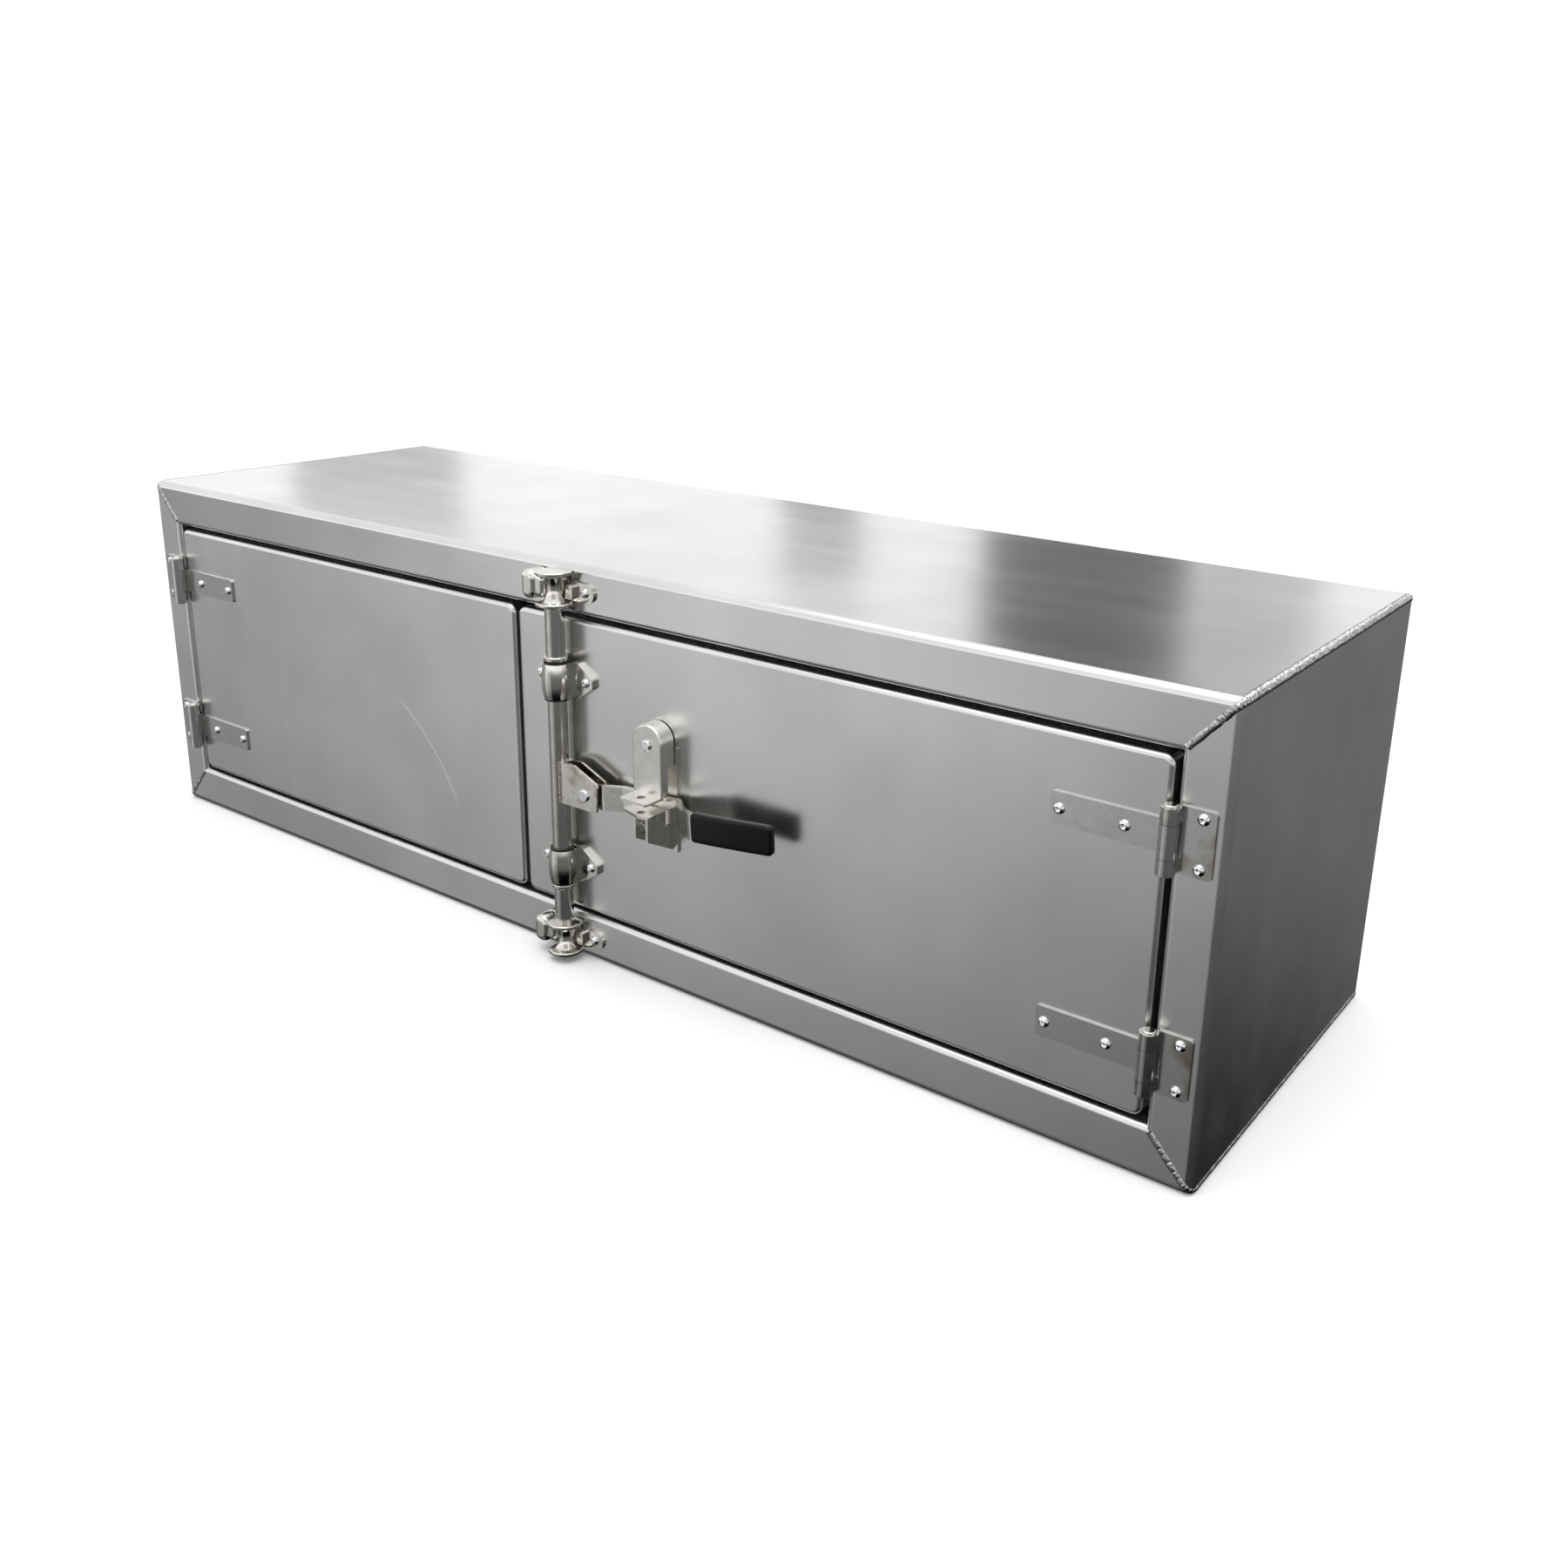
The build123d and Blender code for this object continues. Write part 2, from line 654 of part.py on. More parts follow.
def cam(discs, plug_low, plug_high, label):
    """Two flatted discs on a waisted neck, with a plug that fits inside the rod."""
    rod_y = front - rod_offset
    with BuildPart() as spool:
        for z in discs:
            with BuildSketch(level(z)):
                with Locations((rod_x, rod_y)):
                    Circle(disc_radius)
                with Locations((rod_x, rod_y + disc_rear_flat + disc_radius),
                               (rod_x - disc_side_flat - disc_radius, rod_y),
                               (rod_x - disc_radius, rod_y + disc_radius)):
                    Rectangle(2 * disc_radius, 2 * disc_radius, mode=Mode.SUBTRACT)
                with Locations((rod_x, rod_y)):
                    Circle(disc_rear_flat)
            extrude(amount=disc_thickness)
        fillet(spool.edges().filter_by(Plane.XY), 1.4)
        waist_low = discs[0] + disc_thickness
        waist_high = discs[1]
        with BuildSketch(Plane.XZ.offset(-rod_y)):
            with BuildLine():
                flare = neck_radius + 4.5
                Line((rod_x, waist_low), (rod_x + flare, waist_low))
                ThreePointArc((rod_x + flare, waist_low), (rod_x + neck_radius, (waist_low + waist_high) / 2),
                              (rod_x + flare, waist_high))
                Line((rod_x + flare, waist_high), (rod_x, waist_high))
                Line((rod_x, waist_high), (rod_x, waist_low))
            make_face()
        revolve(axis=Axis((rod_x, rod_y, 0), (0, 0, 1)), revolution_arc=360)
        with BuildSketch(level(plug_low)):
            with Locations((rod_x, rod_y)):
                Circle(plug_radius)
        extrude(amount=plug_high - plug_low)
    finish(spool.part, label)


cam(lower_discs, lower_discs[1] + disc_thickness, rod_bottom + plug_length, "lower_cam")
cam(upper_discs, rod_top - plug_length, upper_discs[0], "upper_cam")

# ---------------------------------------------------------------- handle yoke, welded to the rod
cheek_front = front - rod_offset - yoke_width / 2
cheek_back = front - rod_offset + yoke_width / 2
web_end = 28.5
with BuildPart() as yoke:
    with BuildSketch(Plane.XZ.offset(-cheek_back)):
        with BuildLine():
            FilletPolyline(
                (rod_x + 7, 193),
                (76, 193.5),
                (78, 226),
                (43, 241),
                (rod_x + 7, 240.5),
                radius=(3, 3, 5, 0, 0),
                close=True,
            )
        make_face()
    extrude(amount=yoke_width)
    with Locations((web_end + 40, front - rod_offset, 217)):
        Box(80, yoke_width - 2 * cheek_gauge, 80, mode=Mode.SUBTRACT)
    with Locations((rod_x, front - rod_offset, 217)):
        Cylinder(rod_radius, 100, mode=Mode.SUBTRACT)
    with BuildSketch(Plane.XZ.offset(-cheek_back)):
        with Locations((handle_pin_x, handle_pin_z)):
            Circle(4.0)
    extrude(amount=yoke_width, mode=Mode.SUBTRACT)
finish(yoke.part, "yoke")

weld_radius = 2.4
with BuildPart() as yoke_welds:
    for offset_y in (-7.6, 7.6):
        with BuildSketch(level(194)):
            with Locations((rod_x + 7.6, front - rod_offset + offset_y)):
                Circle(weld_radius)
        extrude(amount=46)
    with Locations((rod_x, front - rod_offset, 217)):
        Cylinder(rod_radius, 100, mode=Mode.SUBTRACT)
    add(yoke.part, mode=Mode.SUBTRACT)
finish(yoke_welds.part, "yoke_welds")

with BuildPart() as yoke_pin:
    with BuildSketch(Plane.XZ.offset(-cheek_front)):
        with Locations((handle_pin_x, handle_pin_z)):
            Circle(7.0)
    extrude(amount=2.6)
    fillet(yoke_pin.faces().sort_by(Axis.Y)[0].edges(), 1.4)
    with BuildSketch(Plane.XZ.offset(-cheek_back)):
        with Locations((handle_pin_x, handle_pin_z)):
            Circle(4.0)
    extrude(amount=yoke_width)
    with BuildSketch(Plane.XZ.offset(-cheek_back)):
        with Locations((handle_pin_x, handle_pin_z)):
            Circle(5.5)
    extrude(amount=-1.2)
finish(yoke_pin.part, "yoke_pin")

# ---------------------------------------------------------------- handle: a cranked flat bar with a grip
tilt = radians(handle_tilt)
bar_normal = Vector(-sin(tilt), 0, cos(tilt))
bar_along = (cos(tilt), 0, sin(tilt))
pin_point = (handle_pin_x, front - rod_offset, handle_pin_z)
# Each point is how far it is along the bar from its pin, and how far in front of the front face.
bar_route = [(-16, 15.5), (24, 15.5), (46, 8), (123.5, 8), (144, 26), (161, 33.2), (206, 29), (254, 22.5)]
grip_route = [(grip_start, 33.2), (206, 29), (grip_end, 22)]


def bar_plane(half_height):
    origin = Vector(handle_pin_x, 0, handle_pin_z) - bar_normal * half_height
    return Plane(origin=origin, x_dir=bar_along, z_dir=bar_normal)


def strip_profile(route, half_thickness, radius):
    """Plan outline of a strip this thick, along the route."""
    with BuildLine() as outline:
        FilletPolyline(*[(along, front - out) for along, out in route], radius=radius)
        offset(amount=half_thickness, side=Side.BOTH)
    make_face(outline.edges())


with BuildPart() as handle_bar:
    with BuildSketch(bar_plane(bar_height)):
        strip_profile(bar_route, bar_half_thickness, 9)
    extrude(amount=2 * bar_height)
    with BuildSketch(Plane(origin=pin_point, x_dir=bar_along, z_dir=(0, -1, 0))):
        Circle(bar_height / 2)
        with Locations((150, 0)):
            Rectangle(300, bar_height)
        Circle(4.05, mode=Mode.SUBTRACT)
    extrude(amount=60, both=True, mode=Mode.INTERSECT)
finish(handle_bar.part, "handle_bar")

with BuildPart() as handle_grip:
    with BuildSketch(bar_plane(grip_height / 2)):
        strip_profile(grip_route, grip_half_thickness, 60)
    extrude(amount=grip_height)
    fillet(handle_grip.faces().filter_by(lambda f: abs(f.normal_at().dot(bar_normal)) > 0.99).edges(), 2)
    add(handle_bar.part, mode=Mode.SUBTRACT)
finish(handle_grip.part, "handle_grip")


# ---------------------------------------------------------------- handle catch on the right door
def arch(half_width, low, arch_z):
    """Tall plate outline with a round top, for a sketch that looks out of the front face."""
    with Locations((catch_x, (low + arch_z) / 2)):
        Rectangle(2 * half_width, arch_z - low)
    with Locations((catch_x, arch_z)):
        Circle(half_width)


base_low = 168.0
with BuildPart() as catch_base:
    with BuildSketch(face_plane(0)):
        arch(hasp_half_width + 1.5, base_low, hasp_arch_z)
        with Locations((catch_x, (base_low + 284) / 2)):
            Rectangle(2 * hasp_half_width + 6, 284 - base_low)
        with Locations(*catch_rivet_spots, (catch_x, hasp_pivot_z)):
            Circle(rivet_hole, mode=Mode.SUBTRACT)
    extrude(amount=sheet)
finish(catch_base.part, "catch_base")


# The tray: a shelf with a padlock hole on two legs, which the bar drops behind.
def tray_leg(x, reach):
    leg_top = tray_top - tray_gauge
    slope_low = 170.0
    slope_high = 190.5
    full_reach = 42.0
    low_at_reach = slope_low + (slope_high - slope_low) * (reach - sheet) / (full_reach - sheet)
    with BuildLine() as outline:
        Polyline(
            (front - reach, low_at_reach),
            (front - reach, leg_top),
            (front - notch_depth, leg_top),
            (front - notch_depth, notch_z),
            (front - sheet, notch_z),
            (front - sheet, slope_low),
            close=True,
        )
    with BuildSketch(Plane(origin=(x, 0, 0), x_dir=(0, 1, 0), z_dir=(1, 0, 0))) as side_view:
        make_face(outline.edges())
    return side_view.sketch


with BuildPart() as handle_tray:
    extrude(tray_leg(tray_right - tray_gauge, 42.0), amount=tray_gauge)
    extrude(tray_leg(tray_left + 1, 22.0), amount=tray_gauge)
    with BuildSketch(level(tray_top - tray_gauge)):
        with BuildLine():
            FilletPolyline(
                (tray_left, front - notch_depth),
                (tray_left, front - 35.8),
                (tray_left + 15, front - 40),
                (tray_left + 24, front - 42),
                (tray_right, front - 42),
                (tray_right, front - notch_depth),
                radius=(0, 2, 2, 4, 0, 0),
                close=True,
            )
        make_face()
        with Locations((catch_x, front - padlock_offset)):
            Circle(padlock_hole, mode=Mode.SUBTRACT)
    extrude(amount=tray_gauge)
finish(handle_tray.part, "handle_tray")

with BuildPart() as catch_rivets:
    with BuildSketch(face_plane(sheet)):
        with Locations(*catch_rivet_spots):
            Circle(6)
    extrude(amount=2.2)
    fillet(catch_rivets.faces().sort_by(Axis.Y)[:2].edges(), 1.5)
    with BuildSketch(face_plane(sheet)):
        with Locations(*catch_rivet_spots):
            Circle(rivet_hole)
    extrude(amount=-3 * sheet)
    with BuildSketch(face_plane(-2 * sheet)):
        with Locations(*catch_rivet_spots):
            Circle(6)
    extrude(amount=-1.8)
finish(catch_rivets.part, "catch_rivets")

hasp_gauge = 3.0
flange_back = 13.6      # rear edge of the flange, where the bar passes behind it
flange_deep = 4.2       # and above the bar's travel
flange_step_z = 266.0
running_gap = 0.3
tab_reach = 47.0
with BuildPart() as hasp:
    with BuildSketch(face_plane(hasp_face)):
        arch(hasp_half_width, hasp_tab_z, hasp_arch_z)
    extrude(amount=-hasp_gauge)
    for flange_low, rear in ((hasp_tab_z + 5.4, flange_back), (flange_step_z, flange_deep)):
        with BuildSketch(face_plane(hasp_face - hasp_gauge)):
            arch(hasp_half_width, flange_low, hasp_arch_z)
            with Locations((catch_x, (200 + hasp_arch_z) / 2)):
                Rectangle(2 * (hasp_half_width - hasp_gauge), hasp_arch_z - 200, mode=Mode.SUBTRACT)
            with Locations((catch_x, hasp_arch_z)):
                Circle(hasp_half_width - hasp_gauge, mode=Mode.SUBTRACT)
        extrude(amount=-(hasp_face - hasp_gauge - rear))
    fillet(hasp.faces().sort_by(Axis.Y)[0].edges().filter_by(lambda e: e.center().Z > hasp_tab_z + 1), 2)
    with BuildSketch(level(hasp_tab_z)):
        with Locations((catch_x, front - (hasp_face - hasp_gauge + tab_reach) / 2)):
            RectangleRounded(37, tab_reach - hasp_face + hasp_gauge, 2.5)
        with Locations((catch_x, front - padlock_offset)):
            Circle(padlock_hole, mode=Mode.SUBTRACT)
    extrude(amount=2.5)
    with BuildSketch(face_plane(hasp_face)):
        with Locations((catch_x, hasp_pivot_z)):
            Circle(rivet_hole + 0.05)
    extrude(amount=-2 * hasp_gauge, mode=Mode.SUBTRACT)
finish(hasp.part, "hasp")

with BuildPart() as hasp_rivet:
    post_top = hasp_face - hasp_gauge - running_gap
    for seat, radius, thickness in (
        (hasp_face + running_gap, 6.0, 2.4),
        (sheet, 7.0, post_top - sheet),
        (-2 * sheet - 1.8, 6.0, 1.8),
        (-2 * sheet, rivet_hole, hasp_face + 2 * sheet + running_gap),
    ):
        with BuildSketch(face_plane(seat)):
            with Locations((catch_x, hasp_pivot_z)):
                Circle(radius)
        extrude(amount=thickness)
    fillet(hasp_rivet.faces().sort_by(Axis.Y)[0].edges(), 1.5)
finish(hasp_rivet.part, "hasp_rivet")
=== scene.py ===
import math

import bmesh
import bpy
from mathutils import Matrix, Vector


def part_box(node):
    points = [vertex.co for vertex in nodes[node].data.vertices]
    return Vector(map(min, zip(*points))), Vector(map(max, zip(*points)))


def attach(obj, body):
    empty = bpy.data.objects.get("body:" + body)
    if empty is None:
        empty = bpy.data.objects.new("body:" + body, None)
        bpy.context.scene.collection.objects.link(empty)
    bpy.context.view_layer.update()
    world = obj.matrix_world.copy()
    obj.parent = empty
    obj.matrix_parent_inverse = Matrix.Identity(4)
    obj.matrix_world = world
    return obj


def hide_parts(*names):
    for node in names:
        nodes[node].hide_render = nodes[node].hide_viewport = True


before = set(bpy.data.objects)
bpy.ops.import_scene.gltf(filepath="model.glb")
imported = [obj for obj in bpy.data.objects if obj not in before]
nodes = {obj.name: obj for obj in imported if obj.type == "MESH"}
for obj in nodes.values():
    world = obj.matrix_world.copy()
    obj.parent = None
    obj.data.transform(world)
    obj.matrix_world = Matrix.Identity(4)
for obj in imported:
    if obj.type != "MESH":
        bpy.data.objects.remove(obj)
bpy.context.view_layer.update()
scene = bpy.context.scene
print("frame loaded:", len(nodes), "nodes")

mm = 0.001
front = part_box("back_panel")[1].y * -1    # the doors' skin lies in this plane
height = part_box("top_panel")[1].z
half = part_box("right_side_panel")[1].x


# helpers for nodes, colours and objects
def linear(hexColour):
    parts = [int(hexColour[i:i + 2], 16) / 255 for i in (1, 3, 5)]
    return tuple(c / 12.92 if c <= 0.04045 else ((c + 0.055) / 1.055) ** 2.4 for c in parts) + (1.0,)


def add(tree, kind, links=None, values=None, **settings):
    # adds a node; links and values are keyed by the input's index or name
    node = tree.nodes.new(kind)
    for key, value in settings.items():
        setattr(node, key, value)
    for key, value in (values or {}).items():
        node.inputs[key].default_value = value
    for key, source in (links or {}).items():
        tree.links.new(source, node.inputs[key])
    return node


def mathsIn(tree):
    # returns a function that adds a maths node to this tree, from numbers or sockets, and gives its output
    def maths(kind, a, b=None):
        node = add(tree, "ShaderNodeMath", operation=kind)
        for i, v in enumerate((a, b)):
            if isinstance(v, (int, float)):
                node.inputs[i].default_value = v
            elif v is not None:
                tree.links.new(v, node.inputs[i])
        return node.outputs[0]

    return maths


def newObject(name, data):
    made = bpy.data.objects.new(name, data)
    scene.collection.objects.link(made)
    return made


def newMaterial(name):
    material = bpy.data.materials.new(name)
    material.use_nodes = True
    tree = material.node_tree
    return material, tree, tree.nodes["Principled BSDF"]


def spread(tree, value, lowOut, highOut, low=0.3, high=0.7):
    # eases the value's low to high range into lowOut to highOut
    return add(tree, "ShaderNodeMapRange", {0: value}, {1: low, 2: high, 3: lowOut, 4: highOut},
               interpolation_type="SMOOTHSTEP").outputs[0]


# camera: a little above the box, off its right front corner
camera = {
    "place": (1.1415, -1.3264, 0.8039),
    "looks": (-0.56129, 0.77022, -0.30284),
    "right": (0.80462, 0.59352, 0.01821),
    "lens": 34.3,
    "shiftX": -0.0168,
    "shiftY": -0.0544,
}


def makeCamera(s):
    data = bpy.data.cameras.new("camera")
    data.lens = s["lens"]
    data.sensor_width = 36
    data.shift_x = s["shiftX"]
    data.shift_y = s["shiftY"]
    data.clip_start = 0.01
    cam = newObject("camera", data)
    looks = Vector(s["looks"]).normalized()
    right = Vector(s["right"]).normalized()
    up = right.cross(looks)
    turn = Matrix((right, up, -looks)).transposed()
    cam.matrix_world = Matrix.Translation(s["place"]) @ turn.to_4x4()
    scene.camera = cam


makeCamera(camera)
scene.view_settings.view_transform = "Standard"


# stage: white floor, and one soft lamp overhead
light = {
    "floor": "#f6f6f6",
    "floorReach": 80,
    "keyPower": 26,
    "keySize": 2.4,
    "keyPlace": (0.2, -0.6, 2.6),
}


def makeStage(s):
    mesh = bpy.data.meshes.new("floor")
    reach = s["floorReach"]
    mesh.from_pydata([(-reach, -reach, 0), (reach, -reach, 0), (reach, reach, 0), (-reach, reach, 0)],
                     [], [(0, 1, 2, 3)])
    floor = newObject("floor", mesh)
    material, _, shader = newMaterial("matt white floor")
    shader.inputs["Base Color"].default_value = linear(s["floor"])
    shader.inputs["Roughness"].default_value = 1.0
    mesh.materials.append(material)
    floor.visible_glossy = False
    lamp = bpy.data.lights.new("overhead", "AREA")
    lamp.size = s["keySize"]
    lamp.energy = s["keyPower"]
    newObject("overhead", lamp).location = s["keyPlace"]


makeStage(light)


# surroundings, seen in the metal: a dim room low down, a white band at the horizon, a bright ceiling above it
room = {
    "floorNear": 0.17,         # brightness ahead of the doors, towards the feet
    "floorFar": 0.76,          # and near the horizon
    "leftFade": 0.42,          # share of it that is left at either end
    "rightFade": 0.62,
    "backFloor": 0.150,        # everywhere but ahead of the doors
    "horizon": 1.20,
    "ceiling": 1.0,
    "roof": 2.0,
    # where each blends into the next: elevations or bearings in degrees
    "facing": -140,
    "floorRise": (-38, -10),
    "leftTurn": (-138, -120),
    "rightTurn": (-164, -146),
    "backRise": (-33, -20),
    "backTurn": (45, 95),
    "skyline": (-4, -1),
    "ceilingRise": (8, 12),
    "roofRise": (50, 75),
    # cards only the metal sees: bearing, half width, lowest and highest elevation, in degrees, and brightness
    "darkWindows": (
        (-25.0, 4.1, 6.0, 34, 0.10),
        (-35.6, 1.6, 6.0, 13.5, 0.22),
        (-52.8, 3.1, 6.0, 11.5, 0.30),
        (-18.2, 2.2, 9.0, 34, 0.50),
        (118, 9, 9.0, 34, 0.25),
        (150, 14, 9.0, 34, 0.35),
        (52, 12, 9.0, 34, 0.30),
    ),
    "cardDistance": 50.0,
}


def makeWorld(s):
    world = bpy.data.worlds.new("room")
    scene.world = world
    world.use_nodes = True
    tree = world.node_tree
    background = tree.nodes["Background"]
    background.inputs["Color"].default_value = (1, 1, 1, 1)
    way = add(tree, "ShaderNodeTexCoord").outputs["Generated"]
    split = add(tree, "ShaderNodeSeparateXYZ", {0: way}).outputs

    def ramp(value, between, lowOut, highOut):
        return spread(tree, value, lowOut, highOut, *between)

    maths = mathsIn(tree)
    rise = maths("DEGREES", maths("ARCSINE", split[2]))
    bearing = maths("DEGREES", maths("ARCTAN2", split[0], split[1]))
    away = maths("ABSOLUTE", maths("SUBTRACT", bearing, s["facing"]))
    ahead = ramp(rise, s["floorRise"], s["floorNear"], s["floorFar"])
    ahead = maths("MULTIPLY", ahead, ramp(bearing, s["leftTurn"], 1.0, s["leftFade"]))
    ahead = maths("MULTIPLY", ahead, ramp(bearing, s["rightTurn"], s["rightFade"], 1.0))
    behind = ramp(rise, s["backRise"], 0.0, s["backFloor"])
    low = add(tree, "ShaderNodeMix", {0: ramp(away, s["backTurn"], 0, 1), 2: ahead, 3: behind}).outputs[0]
    high = ramp(rise, s["ceilingRise"], s["horizon"], s["ceiling"])
    high = add(tree, "ShaderNodeMix", {0: ramp(rise, s["roofRise"], 0, 1), 2: high}, {3: s["roof"]}).outputs[0]
    whole = add(tree, "ShaderNodeMix", {0: ramp(rise, s["skyline"], 0, 1), 2: low, 3: high}).outputs[0]
    tree.links.new(whole, background.inputs["Strength"])


makeWorld(room)


def makeCards(s):
    flat = s["cardDistance"]
    for index, (middle, reach, low, high, glow) in enumerate(s["darkWindows"]):
        material, _, shader = newMaterial(f"dim card {index + 1}")
        shader.inputs["Base Color"].default_value = (0, 0, 0, 1)
        shader.inputs["Emission Color"].default_value = (1, 1, 1, 1)
        shader.inputs["Emission Strength"].default_value = glow
        corners = []
        for bearing, rise in ((-reach, low), (reach, low), (reach, high), (-reach, high)):
            angle = math.radians(middle + bearing)
            up = math.tan(math.radians(rise))
            corners.append((flat * math.sin(angle), flat * math.cos(angle), flat * up))
        mesh = bpy.data.meshes.new(f"card{index + 1}")
        mesh.from_pydata(corners, [], [(0, 1, 2, 3)])
        mesh.materials.append(material)
        card = newObject(mesh.name, mesh)
        card.visible_camera = False
        card.visible_diffuse = False
        card.visible_shadow = False


makeCards(room)
print("camera, floor and room light made")


def grain(tree, way, size, stretch, detail=3.0, roughness=0.6, seed=0.0):
    # noise with features of this size in metres; stretch squeezes it along an axis
    mapping = add(tree, "ShaderNodeMapping", {0: way}, {1: (seed, seed, seed), 3: stretch})
    return add(tree, "ShaderNodeTexNoise", {0: mapping.outputs[0]},
               {"Scale": 1 / size, "Detail": detail, "Roughness": roughness})


def blendColour(tree, amount, a, b):
    node = add(tree, "ShaderNodeMix", {0: amount}, data_type="RGBA")
    for index, value in ((6, a), (7, b)):
        if isinstance(value, tuple):
            node.inputs[index].default_value = value
        else:
            tree.links.new(value, node.inputs[index])
    return node.outputs[2]


# 5052 aluminium sheet as it comes from the mill: satin, rolled along one way, with faint cloudy patches
millSheet = {
    "colour": "#e8e8e7",
    "cloudColour": "#d9d9d8",
    "roughness": 0.25,
    "rougher": 0.285,
    "streakSize": 42 * mm,
    "cloudSize": 160 * mm,
    "wave": 0.5 * mm,          # height of its slow waves; the sheet isn't dead flat
    "waveSize": 230 * mm,
}


def millAluminium(name, s, stretch, scratch=None, shine=1.0):
    material, tree, shader = newMaterial(name)
    way = add(tree, "ShaderNodeTexCoord").outputs["Object"]
    clouds = grain(tree, way, s["cloudSize"], (1, 1, 1), 2.0, 0.5, 3.1)
    streaks = grain(tree, way, s["streakSize"], stretch, 1.0, 0.4, 7.7)
    colour = blendColour(tree, spread(tree, clouds.outputs[0], 0, 1, 0.2, 0.8), linear(s["colour"]),
                         linear(s["cloudColour"]))
    rough = spread(tree, streaks.outputs[0], s["roughness"] * shine, s["rougher"] * shine, 0.2, 0.8)
    shader.inputs["Metallic"].default_value = 1.0
    waves = grain(tree, way, s["waveSize"], (1, 1, 1), 1.0, 0.4, 5.5)
    bump = add(tree, "ShaderNodeBump", {"Height": waves.outputs[0]}, {"Strength": 1.0, "Distance": s["wave"]})
    if scratch:
        mask = scratchMask(tree, way, scratch)
        colour = add(tree, "ShaderNodeMix", {0: mask, 6: colour}, {7: linear(scratch["colour"])},
                     data_type="RGBA").outputs[2]
        rough = add(tree, "ShaderNodeMix", {0: mask, 2: rough}, {3: scratch["roughness"]}).outputs[0]
    tree.links.new(colour, shader.inputs["Base Color"])
    tree.links.new(rough, shader.inputs["Roughness"])
    tree.links.new(bump.outputs[0], shader.inputs["Normal"])
    return material


# a drag mark across the left door's skin, an arc about a far centre
doorScratch = {
    "centre": (-0.415, 0.025),
    "radius": 0.262,
    "width": 0.8 * mm,
    "fromAngle": 22,
    "toAngle": 60,
    "colour": "#ffffff",
    "roughness": 0.55,
}


def scratchMask(tree, way, s):
    maths = mathsIn(tree)
    split = add(tree, "ShaderNodeSeparateXYZ", {0: way}).outputs
    x = maths("SUBTRACT", split[0], s["centre"][0])
    z = maths("SUBTRACT", split[2], s["centre"][1])
    reach = maths("SQRT", maths("ADD", maths("MULTIPLY", x, x), maths("MULTIPLY", z, z)))
    off = maths("ABSOLUTE", maths("SUBTRACT", reach, s["radius"]))
    line = add(tree, "ShaderNodeMapRange", {0: off},
               {1: s["width"] * 0.4, 2: s["width"], 3: 1, 4: 0}).outputs[0]
    middle = math.radians((s["fromAngle"] + s["toAngle"]) / 2)
    halfAngle = math.radians((s["toAngle"] - s["fromAngle"]) / 2)
    off = maths("ABSOLUTE", maths("SUBTRACT", maths("ARCTAN2", z, x), middle))
    ends = add(tree, "ShaderNodeMapRange", {0: off},
               {1: halfAngle * 0.7, 2: halfAngle, 3: 1, 4: 0}).outputs[0]
    return maths("MULTIPLY", line, ends)


# metals of the hardware: name, colour, second colour, roughness low and high, size of the patches, bump
hardware = {
    # 304 stainless strip, 2B finish: greyish, satin, faint rolling marks
    "satin stainless": ("#dddcda", "#d3d2cf", 0.17, 0.23, 14 * mm, 0.03),
    # turned stainless pin, finer than the strip
    "turned stainless": ("#e4e2de", "#dad7d2", 0.14, 0.20, 3 * mm, 0.05),
    # bright zinc plate on steel screws: mirror-like with a bluish white cast
    "bright zinc": ("#f4f5f6", "#e9ebee", 0.09, 0.14, 4 * mm, 0.05),
    # half inch steel pipe, electroplated: smooth but drawn, so it blurs along its length
    "plated pipe": ("#dedcd8", "#d0cdc8", 0.15, 0.22, 16 * mm, 0.08),
    # nickel plated pressings and castings: warm, bright, softly rounded highlights
    "nickel plate": ("#e9e7e2", "#dcd9d3", 0.12, 0.20, 12 * mm, 0.08),
    # the hasp is the same plate, worn satin by handling
    "worn nickel plate": ("#efeeea", "#e4e2dd", 0.27, 0.34, 12 * mm, 0.05),
    # aluminium weld metal: frosty pale grey and dark grey in small random patches; the dark grey is painted
    # shade, standing in for the dark gaps between its ripples
    "aluminium weld": ("#dcddde", "#7e7f80", 0.20, 0.42, 2.4 * mm, 0.8),
    # weld metal on the steel yoke: greyer, with brown heat colour
    "steel weld": ("#cdc8bf", "#8d8376", 0.25, 0.45, 1.8 * mm, 0.8),
}


# fine tooth on all of the hardware
tooth = {"size": 0.6 * mm, "height": 0.06 * mm}


def hardwareMetal(name, first, second, smooth, rough, size, bumpiness, tint=None):
    material, tree, shader = newMaterial(name)
    way = add(tree, "ShaderNodeTexCoord").outputs["Object"]
    patches = grain(tree, way, size, (1, 1, 1), 3.0, 0.6, 1.3)
    fine = grain(tree, way, tooth["size"], (1, 1, 1), 2.0, 0.6)
    colour = blendColour(tree, spread(tree, patches.outputs[0], 0, 1), linear(first), linear(second))
    if tint:
        blot = grain(tree, way, tint["size"], (1, 1, 1), 2.0, 0.5, tint["seed"])
        amount = spread(tree, blot.outputs[0], 0, tint["amount"], 0.45, 0.68)
        colour = blendColour(tree, amount, colour, linear(tint["colour"]))
    tree.links.new(colour, shader.inputs["Base Color"])
    shader.inputs["Metallic"].default_value = 1.0
    tree.links.new(spread(tree, patches.outputs[0], smooth, rough), shader.inputs["Roughness"])
    bump = add(tree, "ShaderNodeBump", {"Height": fine.outputs[0]},
               {"Strength": bumpiness, "Distance": tooth["height"]})
    tree.links.new(bump.outputs[0], shader.inputs["Normal"])
    return material


